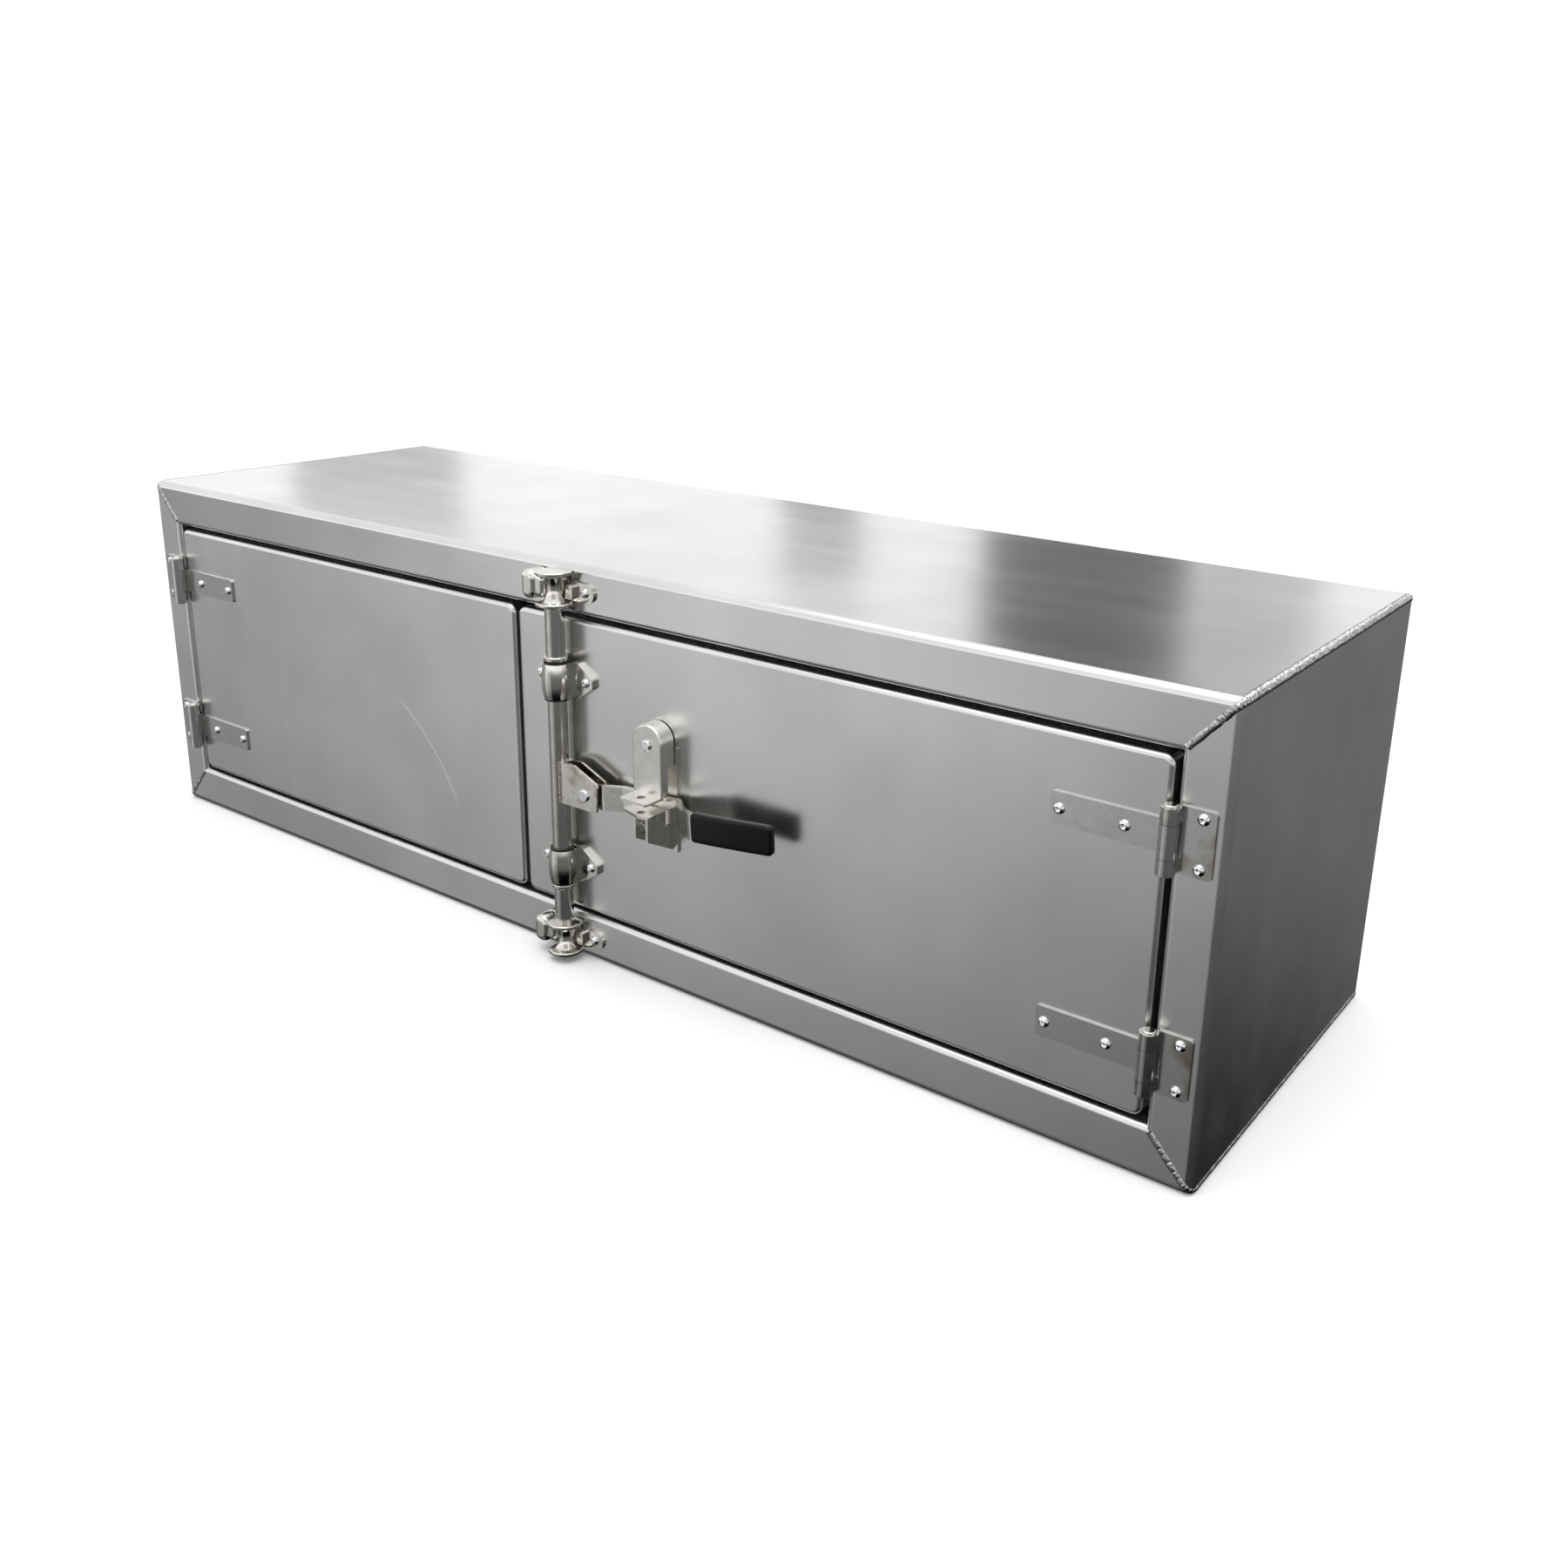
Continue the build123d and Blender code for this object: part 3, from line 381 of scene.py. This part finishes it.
# plastics and rubber: name, colour, second colour, roughness, bump size and height, coat, reflection level
plastics = {
    # plastisol dipped over the bar: deep black and wet-looking
    "dipped vinyl": ("#030303", "#050505", 0.10, 9 * mm, 0.04 * mm, 0.1, 0.22),
    # cast nylon bush: black, slightly waxy
    "black nylon": ("#101010", "#161616", 0.38, 1.5 * mm, 0.04 * mm, 0.0, 0.4),
    # foam rubber weather strip: matt charcoal with fine cells
    "sponge rubber": ("#08080a", "#0d0d0f", 0.9, 0.9 * mm, 0.08 * mm, 0.0, 0.15),
}


def softPlastic(name, first, second, roughness, size, bumpHeight, coat, specular):
    material, tree, shader = newMaterial(name)
    way = add(tree, "ShaderNodeTexCoord").outputs["Object"]
    cells = grain(tree, way, size, (1, 1, 1), 3.0, 0.6)
    colour = blendColour(tree, spread(tree, cells.outputs[0], 0, 1), linear(first), linear(second))
    tree.links.new(colour, shader.inputs["Base Color"])
    rough = spread(tree, cells.outputs[0], roughness * 0.9, roughness * 1.15)
    tree.links.new(rough, shader.inputs["Roughness"])
    shader.inputs["IOR"].default_value = 1.53
    shader.inputs["Specular IOR Level"].default_value = specular
    shader.inputs["Coat Weight"].default_value = coat
    shader.inputs["Coat Roughness"].default_value = 0.05
    bump = add(tree, "ShaderNodeBump", {"Height": cells.outputs[0]},
               {"Strength": 0.4, "Distance": bumpHeight})
    tree.links.new(bump.outputs[0], shader.inputs["Normal"])
    return material


metals = {name: hardwareMetal(name, *values) for name, values in hardware.items()}
softs = {name: softPlastic(name, *values) for name, values in plastics.items()}
# straw and brown heat colour next to the welds
heatTints = {
    "heat tinted stainless": ("satin stainless",
                              {"colour": "#7d6436", "amount": 0.62, "size": 26 * mm, "seed": 4.2}),
    "heat tinted nickel": ("nickel plate",
                           {"colour": "#8f7340", "amount": 0.5, "size": 18 * mm, "seed": 9.0}),
}
for name, (base, tint) in heatTints.items():
    metals[name] = hardwareMetal(name, *hardware[base], tint)
lengthwise = (0.12, 1, 1)
upright = (1, 1, 0.14)
sheets = {
    "rolled sheet": millAluminium("rolled sheet", millSheet, lengthwise),
    # the top kept its factory film longer, so it is the shinier face
    "glossier rolled sheet": millAluminium("glossier rolled sheet", millSheet, lengthwise, shine=0.72),
    "door skin": millAluminium("door skin", millSheet, upright),
    "scratched door skin": millAluminium("scratched door skin", millSheet, upright, doorScratch),
}

hinges = {side: [f"{side}_{level}_hinge" for level in ("lower", "upper")] for side in ("left", "right")}
wears = {
    "glossier rolled sheet": ("top_panel",),
    "rolled sheet": ("bottom_panel", "left_side_panel", "right_side_panel", "back_panel",
                     "overlap_strip", "lock_backing_plates"),
    "door skin": ("right_door_pan",),
    "scratched door skin": ("left_door_pan",),
    "bright zinc": ("frame_hinge_screws", "frame_hinge_nuts", "left_strap_screws", "left_strap_nuts",
                    "right_strap_screws", "right_strap_nuts", "guide_screws", "guide_nuts", "keeper_screws",
                    "keeper_nuts", "keeper_studs", "overlap_rivets", "yoke_pin", "hasp_rivet", "catch_rivets"),
    "plated pipe": ("lock_rod",),
    "nickel plate": ("lower_keeper", "upper_keeper", "lower_cam", "upper_cam", "lower_guide_base",
                     "lower_guide_bracket", "upper_guide_base", "upper_guide_bracket", "handle_bar",
                     "catch_base", "handle_tray", "lower_collar"),
    "worn nickel plate": ("hasp",),
    "heat tinted nickel": ("yoke", "upper_collar"),
    "aluminium weld": ("corner_welds", "back_stitch_welds"),
    "steel weld": ("yoke_welds",),
    "dipped vinyl": ("handle_grip",),
    "black nylon": ("lower_guide_bushing", "upper_guide_bushing"),
    "sponge rubber": ("door_seal", "overlap_seal"),
    "turned stainless": [hinge + "_pin" for hinge in hinges["left"] + hinges["right"]],
    "satin stainless": [hinge + "_strap" for hinge in hinges["left"] + hinges["right"]]
                       + [hinge + "_leaf" for hinge in hinges["left"]],
    "heat tinted stainless": [hinge + "_leaf" for hinge in hinges["right"]],
}

finishes = {**metals, **softs, **sheets}
for finish, names in wears.items():
    for name in names:
        nodes[name].data.materials.clear()
        nodes[name].data.materials.append(finishes[finish])
        for polygon in nodes[name].data.polygons:
            polygon.material_index = 0
dressed = {name for names in wears.values() for name in names}
print("materials on", len(dressed), "nodes; left out:", sorted(set(nodes) - dressed))


# pieces made here stand in for plainer CAD ones
def socket(tree, name, kind, default):
    made = tree.interface.new_socket(name, in_out="INPUT", socket_type=kind)
    if default is not None:
        made.default_value = default
    return made.identifier


def newTree(name):
    tree = bpy.data.node_groups.new(name, "GeometryNodeTree")
    tree.interface.new_socket("Geometry", in_out="INPUT", socket_type="NodeSocketGeometry")
    tree.interface.new_socket("Geometry", in_out="OUTPUT", socket_type="NodeSocketGeometry")
    return tree


def bake(source, tree, inputs, name):
    # runs the tree on the source object and returns the result as a plain mesh object
    modifier = source.modifiers.new("build", "NODES")
    modifier.node_group = tree
    for identifier, value in inputs.items():
        modifier[identifier] = value
    evaluated = source.evaluated_get(bpy.context.evaluated_depsgraph_get())
    mesh = bpy.data.meshes.new_from_object(evaluated)
    mesh.name = name
    source.modifiers.remove(modifier)
    bpy.data.objects.remove(source)
    return newObject(name, mesh)


def lines(name, routes):
    # an object with one open polyline for each route
    data = bpy.data.curves.new(name, "CURVE")
    data.dimensions = "3D"
    for route in routes:
        spline = data.splines.new("POLY")
        spline.points.add(len(route) - 1)
        for point, place in zip(spline.points, route):
            point.co = (*place, 1)
    return newObject(name, data)


def rippleBeadTree():
    # a round bead along each line, in overlapping ripples like a stack of coins, with pits near given points
    tree = newTree("ripple bead")
    keys = {
        "radius": socket(tree, "Radius", "NodeSocketFloat", 4.5 * mm),
        "bend": socket(tree, "Bend radius", "NodeSocketFloat", 0.0),
        "pitch": socket(tree, "Ripple pitch", "NodeSocketFloat", 2.4 * mm),
        "depth": socket(tree, "Ripple depth", "NodeSocketFloat", 0.5 * mm),
        "smoothAfter": socket(tree, "Smooth after", "NodeSocketFloat", 10.0),
        "smoothDepth": socket(tree, "Smooth share", "NodeSocketFloat", 0.25),
        "step": socket(tree, "Step", "NodeSocketFloat", 0.6 * mm),
        "lump": socket(tree, "Lump", "NodeSocketFloat", 0.4 * mm),
        "pits": socket(tree, "Pits", "NodeSocketObject", None),
        "pitSize": socket(tree, "Pit size", "NodeSocketFloat", 1.8 * mm),
        "pitDepth": socket(tree, "Pit depth", "NodeSocketFloat", 1.6 * mm),
        "metal": socket(tree, "Metal", "NodeSocketMaterial", None),
    }
    given = tree.nodes.new("NodeGroupInput").outputs
    maths = mathsIn(tree)
    bent = add(tree, "GeometryNodeFilletCurve", {"Curve": given["Geometry"], "Radius": given["Bend radius"]},
               {"Count": 10}, mode="POLY")
    even = add(tree, "GeometryNodeResampleCurve", {"Curve": bent.outputs[0], "Length": given["Step"]},
               mode="LENGTH")
    along = add(tree, "GeometryNodeSplineParameter").outputs["Length"]
    held = add(tree, "GeometryNodeCaptureAttribute", {"Geometry": even.outputs[0]})
    held.capture_items.new("FLOAT", "Along")
    tree.links.new(along, held.inputs["Along"])
    ring = add(tree, "GeometryNodeCurvePrimitiveCircle", {"Radius": given["Radius"]}, {"Resolution": 16})
    tube = add(tree, "GeometryNodeCurveToMesh", {0: held.outputs["Geometry"], "Profile Curve": ring.outputs[0]},
               {"Fill Caps": True})
    reach = held.outputs["Along"]
    place = add(tree, "GeometryNodeInputPosition").outputs[0]
    coarse = add(tree, "ShaderNodeTexNoise", {0: place}, {"Scale": 1 / (7 * mm), "Detail": 2.0}).outputs[0]
    fine = add(tree, "ShaderNodeTexNoise", {0: place}, {"Scale": 1 / (1.6 * mm), "Detail": 2.0}).outputs[0]
    wander = maths("MULTIPLY", coarse, 1.1)
    phase = maths("MULTIPLY", maths("ADD", maths("DIVIDE", reach, given["Ripple pitch"]), wander), math.pi)
    dip = maths("SUBTRACT", 1.0, maths("ABSOLUTE", maths("SINE", phase)))
    fade = add(tree, "ShaderNodeMapRange",
               {0: reach, 1: given["Smooth after"], 4: given["Smooth share"]}, {3: 1.0})
    tree.links.new(maths("ADD", given["Smooth after"], 12 * mm), fade.inputs[2])
    inward = maths("MULTIPLY", maths("MULTIPLY", dip, given["Ripple depth"]), fade.outputs[0])
    inward = maths("ADD", inward, maths("MULTIPLY", coarse, given["Lump"]))
    inward = maths("ADD", inward, maths("MULTIPLY", fine, maths("MULTIPLY", given["Lump"], 0.35)))
    spots = add(tree, "GeometryNodeObjectInfo", {"Object": given["Pits"]})
    near = add(tree, "GeometryNodeProximity", {"Geometry": spots.outputs["Geometry"]}, target_element="POINTS")
    hollow = add(tree, "ShaderNodeMapRange", {0: near.outputs["Distance"], 2: given["Pit size"],
                                              3: given["Pit depth"]}, {1: 0.0, 4: 0.0},
                 interpolation_type="SMOOTHSTEP").outputs[0]
    hollow = maths("MULTIPLY", hollow, near.outputs["Is Valid"])
    inward = maths("ADD", inward, hollow)
    normal = add(tree, "GeometryNodeInputNormal").outputs[0]
    push = add(tree, "ShaderNodeVectorMath", {0: normal}, operation="SCALE")
    tree.links.new(maths("MULTIPLY", inward, -1.0), push.inputs["Scale"])
    moved = add(tree, "GeometryNodeSetPosition", {"Geometry": tube.outputs[0], "Offset": push.outputs[0]})
    split = add(tree, "ShaderNodeSeparateXYZ", {0: add(tree, "GeometryNodeInputPosition").outputs[0]}).outputs
    above = add(tree, "ShaderNodeCombineXYZ", {0: split[0], 1: split[1], 2: maths("MAXIMUM", split[2], 0.0002)})
    flat = add(tree, "GeometryNodeSetPosition", {"Geometry": moved.outputs[0], "Position": above.outputs[0]})
    smooth = add(tree, "GeometryNodeSetShadeSmooth", {"Geometry": flat.outputs[0]})
    real = add(tree, "GeometryNodeRealizeInstances", {"Geometry": smooth.outputs[0]})
    last = add(tree, "GeometryNodeSetMaterial", {"Geometry": real.outputs[0], "Material": given["Metal"]})
    add(tree, "NodeGroupOutput", {0: last.outputs[0]})
    return tree, keys


def points(name, places):
    mesh = bpy.data.meshes.new(name)
    mesh.from_pydata([tuple(p) for p in places], [], [])
    return newObject(name, mesh)


beadTree, beadKeys = rippleBeadTree()


def rippleBeads(name, routes, metal, sizes, pits=()):
    inputs = {beadKeys[key]: value for key, value in sizes.items()}
    inputs[beadKeys["metal"]] = metal
    pitPoints = points("pits", pits) if pits else None
    if pitPoints:
        inputs[beadKeys["pits"]] = pitPoints
    made = bake(lines(name + "Route", routes), beadTree, inputs, name)
    if pitPoints:
        bpy.data.objects.remove(pitPoints)
    return made


# the four corner seams: along the depth of the box in ripples, then smoother down each front mitre
cornerSeam = {
    "rail": 54 * mm,
    "stile": 48 * mm,
    "inset": 5.7 * mm,
    "behindFront": 3.2 * mm,
    "endsBefore": 6 * mm,
    "pitScatter": 1.3 * mm,
    "bead": {"radius": 5.3 * mm, "bend": 8 * mm, "pitch": 2.9 * mm, "depth": 1.1 * mm, "smoothDepth": 0.14,
             "lump": 0.8 * mm, "pitSize": 2.0 * mm, "pitDepth": 2.4 * mm, "step": 0.62 * mm},
    # for each corner, how far down its mitre the pits lie
    "pits": {(1, 1): (24, 26.5, 28, 31), (1, -1): (20, 27, 36, 44, 50), (-1, -1): (16, 30, 41), (-1, 1): (38,)},
}


def makeCornerSeams(s):
    run = math.hypot(s["rail"], s["stile"])
    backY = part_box("back_panel")[1].y

    def seamPoint(side, top, along, y):
        z = height if top > 0 else 0
        return (side * (half - along * s["stile"] / run), y, z - top * along * s["rail"] / run)

    routes, pits = [], []
    y = front + s["behindFront"]
    for side in (-1, 1):
        for top in (-1, 1):
            routes.append([seamPoint(side, top, s["inset"], backY), seamPoint(side, top, s["inset"], y),
                           seamPoint(side, top, run - s["endsBefore"], y)])
            for i, along in enumerate(s["pits"][side, top]):
                shift = (i % 3 - 1) * s["pitScatter"]
                place = Vector(seamPoint(side, top, along * mm, y - s["bead"]["radius"]))
                pits.append(place + Vector((shift, 0, -top * shift)))
    s["bead"]["smoothAfter"] = backY - y - 4 * mm
    seams = rippleBeads("cornerSeamBeads", routes, finishes["aluminium weld"], s["bead"], pits)
    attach(seams, "box")
    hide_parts("corner_welds")


makeCornerSeams(cornerSeam)

# two beads hold the yoke to the rod
yokeSeam = {"radius": 2.5 * mm, "pitch": 2.3 * mm, "depth": 0.6 * mm, "lump": 0.5 * mm, "step": 0.4 * mm,
            "pitSize": 1.1 * mm, "pitDepth": 1.2 * mm}


def makeYokeSeams(s):
    low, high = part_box("yoke_welds")
    x = (low.x + high.x) / 2 + 0.2 * mm
    ys = (low.y + 2.4 * mm, high.y - 2.4 * mm)
    routes = [[(x, y, low.z), (x, y, high.z)] for y in ys]
    pits = [(x, ys[0] - s["radius"], low.z + t * mm) for t in (7, 19, 33)]
    seams = rippleBeads("yokeSeamBeads", routes, finishes["steel weld"], s, pits)
    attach(seams, "lock_rod")
    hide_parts("yoke_welds")


makeYokeSeams(yokeSeam)

# stitch welds inside, round the back panel
stitchSeam = {"radius": 2.6 * mm, "pitch": 2.2 * mm, "depth": 0.5 * mm, "lump": 0.4 * mm, "step": 0.5 * mm}
stitches = {"length": 45 * mm, "places": (120 * mm, 360 * mm, 600 * mm), "sunk": 0.9 * mm}


def makeStitchSeams(s, bead):
    low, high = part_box("back_stitch_welds")
    y = high.y - s["sunk"]
    reach = s["length"] / 2
    routes = []
    for z in (low.z + s["sunk"], high.z - s["sunk"]):
        for x in s["places"]:
            routes += [[(side * x - reach, y, z), (side * x + reach, y, z)] for side in (-1, 1)]
    middle = (low.z + high.z) / 2
    for x in (low.x + s["sunk"], high.x - s["sunk"]):
        routes.append([(x, y, middle - reach), (x, y, middle + reach)])
    seams = rippleBeads("stitchSeamBeads", routes, finishes["aluminium weld"], bead)
    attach(seams, "box")
    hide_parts("back_stitch_welds")


makeStitchSeams(stitches, stitchSeam)
print("weld beads made")


# dipped grip: a soft-edged sleeve bowed outwards over the end of the bar
grip = {
    "edge": 4.2 * mm,          # rounding of its outline, seen from the front
    "crown": 0.28 * mm,        # its faces stand out a little in the middle
    "endThinning": 0.42,       # how much of that rounding the thickness takes at the ends
    "squareness": 7,           # of its section: 2 would be an oval
    "rows": 64,
    "around": 40,
    "route": ((163, 33.2), (206, 29.2), (258, 22.0)),   # along the bar from its pin, in front of the doors
    "pin": (58, 15.5, 210),
    "tilt": 3.4,
    "halfHeight": 15.5 * mm,
    "halfThickness": 4.75 * mm,
}


def bridge(bm, first, second):
    # one band of faces between two rings of vertices
    for i, (a, b) in enumerate(zip(first, second)):
        j = (i + 1) % len(first)
        bm.faces.new((a, first[j], second[j], b))


def meshFrom(bm, name):
    bmesh.ops.recalc_face_normals(bm, faces=bm.faces)
    mesh = bpy.data.meshes.new(name)
    bm.to_mesh(mesh)
    bm.free()
    return mesh


def makeGrip(s):
    tilt = math.radians(s["tilt"])
    pin = Vector((s["pin"][0] * mm, front, s["pin"][2] * mm))
    alongWay = Vector((math.cos(tilt), 0, math.sin(tilt)))
    upWay = Vector((-math.sin(tilt), 0, math.cos(tilt)))
    a, b, c = [Vector((p[0] * mm, p[1] * mm)) for p in s["route"]]
    middle = 2 * b - (a + c) / 2
    total = (c - a).length
    power = 2 / s["squareness"]
    bm = bmesh.new()
    rings = []
    for row in range(s["rows"] + 1):
        # rows crowd together at the rounded ends
        t = 0.5 - 0.5 * math.cos(math.pi * row / s["rows"])
        centre = a * (1 - t) ** 2 + middle * 2 * t * (1 - t) + c * t ** 2
        slope = ((middle - a) * (1 - t) + (c - middle) * t).normalized()
        outWay = Vector((-slope.y, slope.x))
        fromEnd = min(t, 1 - t) * total
        lost = 0 if fromEnd >= s["edge"] else s["edge"] - math.sqrt(s["edge"] ** 2 - (s["edge"] - fromEnd) ** 2)
        tall = s["halfHeight"] - lost
        thick = s["halfThickness"] - lost * s["endThinning"] - s["crown"] * (1 - math.sin(math.pi * t))
        ring = []
        for i in range(s["around"]):
            angle = 2 * math.pi * i / s["around"]
            cx, cy = math.cos(angle), math.sin(angle)
            across = math.copysign(abs(cx) ** power, cx) * thick
            rise = math.copysign(abs(cy) ** power, cy) * tall
            spot = centre + outWay * across
            place = pin + alongWay * spot.x + upWay * rise
            ring.append(bm.verts.new((place.x, front - spot.y, place.z)))
        rings.append(ring)
    for first, second in zip(rings, rings[1:]):
        bridge(bm, first, second)
    bm.faces.new(rings[0])
    bm.faces.new(rings[-1])
    mesh = meshFrom(bm, "gripSleeve")
    for polygon in mesh.polygons:
        polygon.use_smooth = True
    mesh.set_sharp_from_angle(angle=math.radians(50))
    mesh.materials.append(finishes["dipped vinyl"])
    sleeve = newObject("gripSleeve", mesh)
    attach(sleeve, "handle")
    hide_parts("handle_grip")


makeGrip(grip)
print("grip made")


# button head screws with hexagon sockets
screw = {
    "headRadius": 5.25 * mm,
    "headHeight": 3.3 * mm,
    "socketFlats": 4.0 * mm,
    "socketDepth": 2.0 * mm,
    "shankRadius": 3.0 * mm,
    "around": 36,
    "apart": 14 * mm,          # two screws of one node are never closer
    "turnSeed": 5,
}


def screwMesh(name, s, length):
    # seat at y = 0, head towards -Y, shank towards +Y
    bm = bmesh.new()
    top = -s["headHeight"]
    turns = [math.tau * i / s["around"] for i in range(s["around"])]

    def ringAt(y, radiusAt):
        return [bm.verts.new((radiusAt(t) * math.cos(t), y, radiusAt(t) * math.sin(t))) for t in turns]

    profile = [(s["shankRadius"], 0), (s["headRadius"] - 0.25 * mm, 0), (s["headRadius"], -0.25 * mm)]
    for a in (math.radians(d) for d in range(0, 65, 8)):
        profile.append((s["headRadius"] * math.cos(a), top * (0.18 + 0.82 * math.sin(a))))
    rings = [ringAt(y, lambda t: radius) for radius, y in profile]
    for first, second in zip(rings, rings[1:]):
        bridge(bm, first, second)
    last = rings[-1]
    for grow, y in ((0.35 * mm, top), (0.0, top + 0.3 * mm), (0.0, top + s["socketDepth"])):
        reach = s["socketFlats"] / 2 + grow
        ring = ringAt(y, lambda t: reach / math.cos(t % (math.pi / 3) - math.pi / 6))
        bridge(bm, last, ring)
        last = ring
    cone = bm.verts.new((0, top + s["socketDepth"] + 0.7 * mm, 0))
    for i, v in enumerate(last):
        bm.faces.new((v, last[(i + 1) % len(last)], cone))
    last = rings[0]
    for radius, y in ((s["shankRadius"], length - 0.8 * mm), (s["shankRadius"] - 0.7 * mm, length)):
        ring = ringAt(y, lambda t: radius)
        bridge(bm, ring, last)
        last = ring
    bm.faces.new(last)
    return newObject(name, meshFrom(bm, name))


def scatterTree():
    # puts a fastener at every point, each turned by its own amount about the front's normal
    tree = newTree("fasteners in place")
    keys = {
        "fastener": socket(tree, "Fastener", "NodeSocketObject", None),
        "seed": socket(tree, "Turn seed", "NodeSocketInt", 1),
        "metal": socket(tree, "Metal", "NodeSocketMaterial", None),
    }
    given = tree.nodes.new("NodeGroupInput").outputs
    turn = add(tree, "FunctionNodeRandomValue", {"Seed": given["Turn seed"]},
               {0: (0, 0, 0), 1: (0, math.tau, 0)}, data_type="FLOAT_VECTOR")
    shape = add(tree, "GeometryNodeObjectInfo", {"Object": given["Fastener"]}, {"As Instance": True})
    placed = add(tree, "GeometryNodeInstanceOnPoints",
                 {"Points": given["Geometry"], "Instance": shape.outputs["Geometry"],
                  "Rotation": turn.outputs[0]})
    real = add(tree, "GeometryNodeRealizeInstances", {"Geometry": placed.outputs[0]})
    last = add(tree, "GeometryNodeSetMaterial", {"Geometry": real.outputs[0], "Material": given["Metal"]})
    add(tree, "NodeGroupOutput", {0: last.outputs[0]})
    return tree, keys


scatter, scatterKeys = scatterTree()


def spotsOf(node, apart):
    # the middle of each separate solid of a CAD node, in X and Z, and the node's lowest and highest Y
    groups = []
    for v in nodes[node].data.vertices:
        for group in groups:
            if math.hypot(group[0][0] - v.co.x, group[0][1] - v.co.z) < apart:
                group.append((v.co.x, v.co.z))
                break
        else:
            groups.append([(v.co.x, v.co.z)])
    spots = []
    for group in groups:
        xs = [p[0] for p in group]
        zs = [p[1] for p in group]
        spots.append(((min(xs) + max(xs)) / 2, (min(zs) + max(zs)) / 2))
    low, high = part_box(node)
    return spots, low.y, high.y


def makeScrews(name, node, body, s):
    spots, lowY, highY = spotsOf(node, s["apart"])
    seat = lowY + s["headHeight"]
    prototype = screwMesh(name + "Shape", s, highY - seat)
    made = bake(points(name, [(x, seat, z) for x, z in spots]), scatter,
                {scatterKeys["fastener"]: prototype, scatterKeys["seed"]: s["turnSeed"] + len(name),
                 scatterKeys["metal"]: finishes["bright zinc"]}, name)
    bpy.data.objects.remove(prototype)
    made.data.set_sharp_from_angle(angle=math.radians(32))
    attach(made, body)
    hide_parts(node)
    return len(spots)


screwCount = 0
for node, body in (("frame_hinge_screws", "box"), ("keeper_screws", "box"), ("left_strap_screws", "left_door"),
                   ("right_strap_screws", "right_door"), ("guide_screws", "right_door")):
    words = node.split("_")
    screwCount += makeScrews(words[0] + "".join(w.capitalize() for w in words[1:]), node, body, screw)
print("screws made:", screwCount)
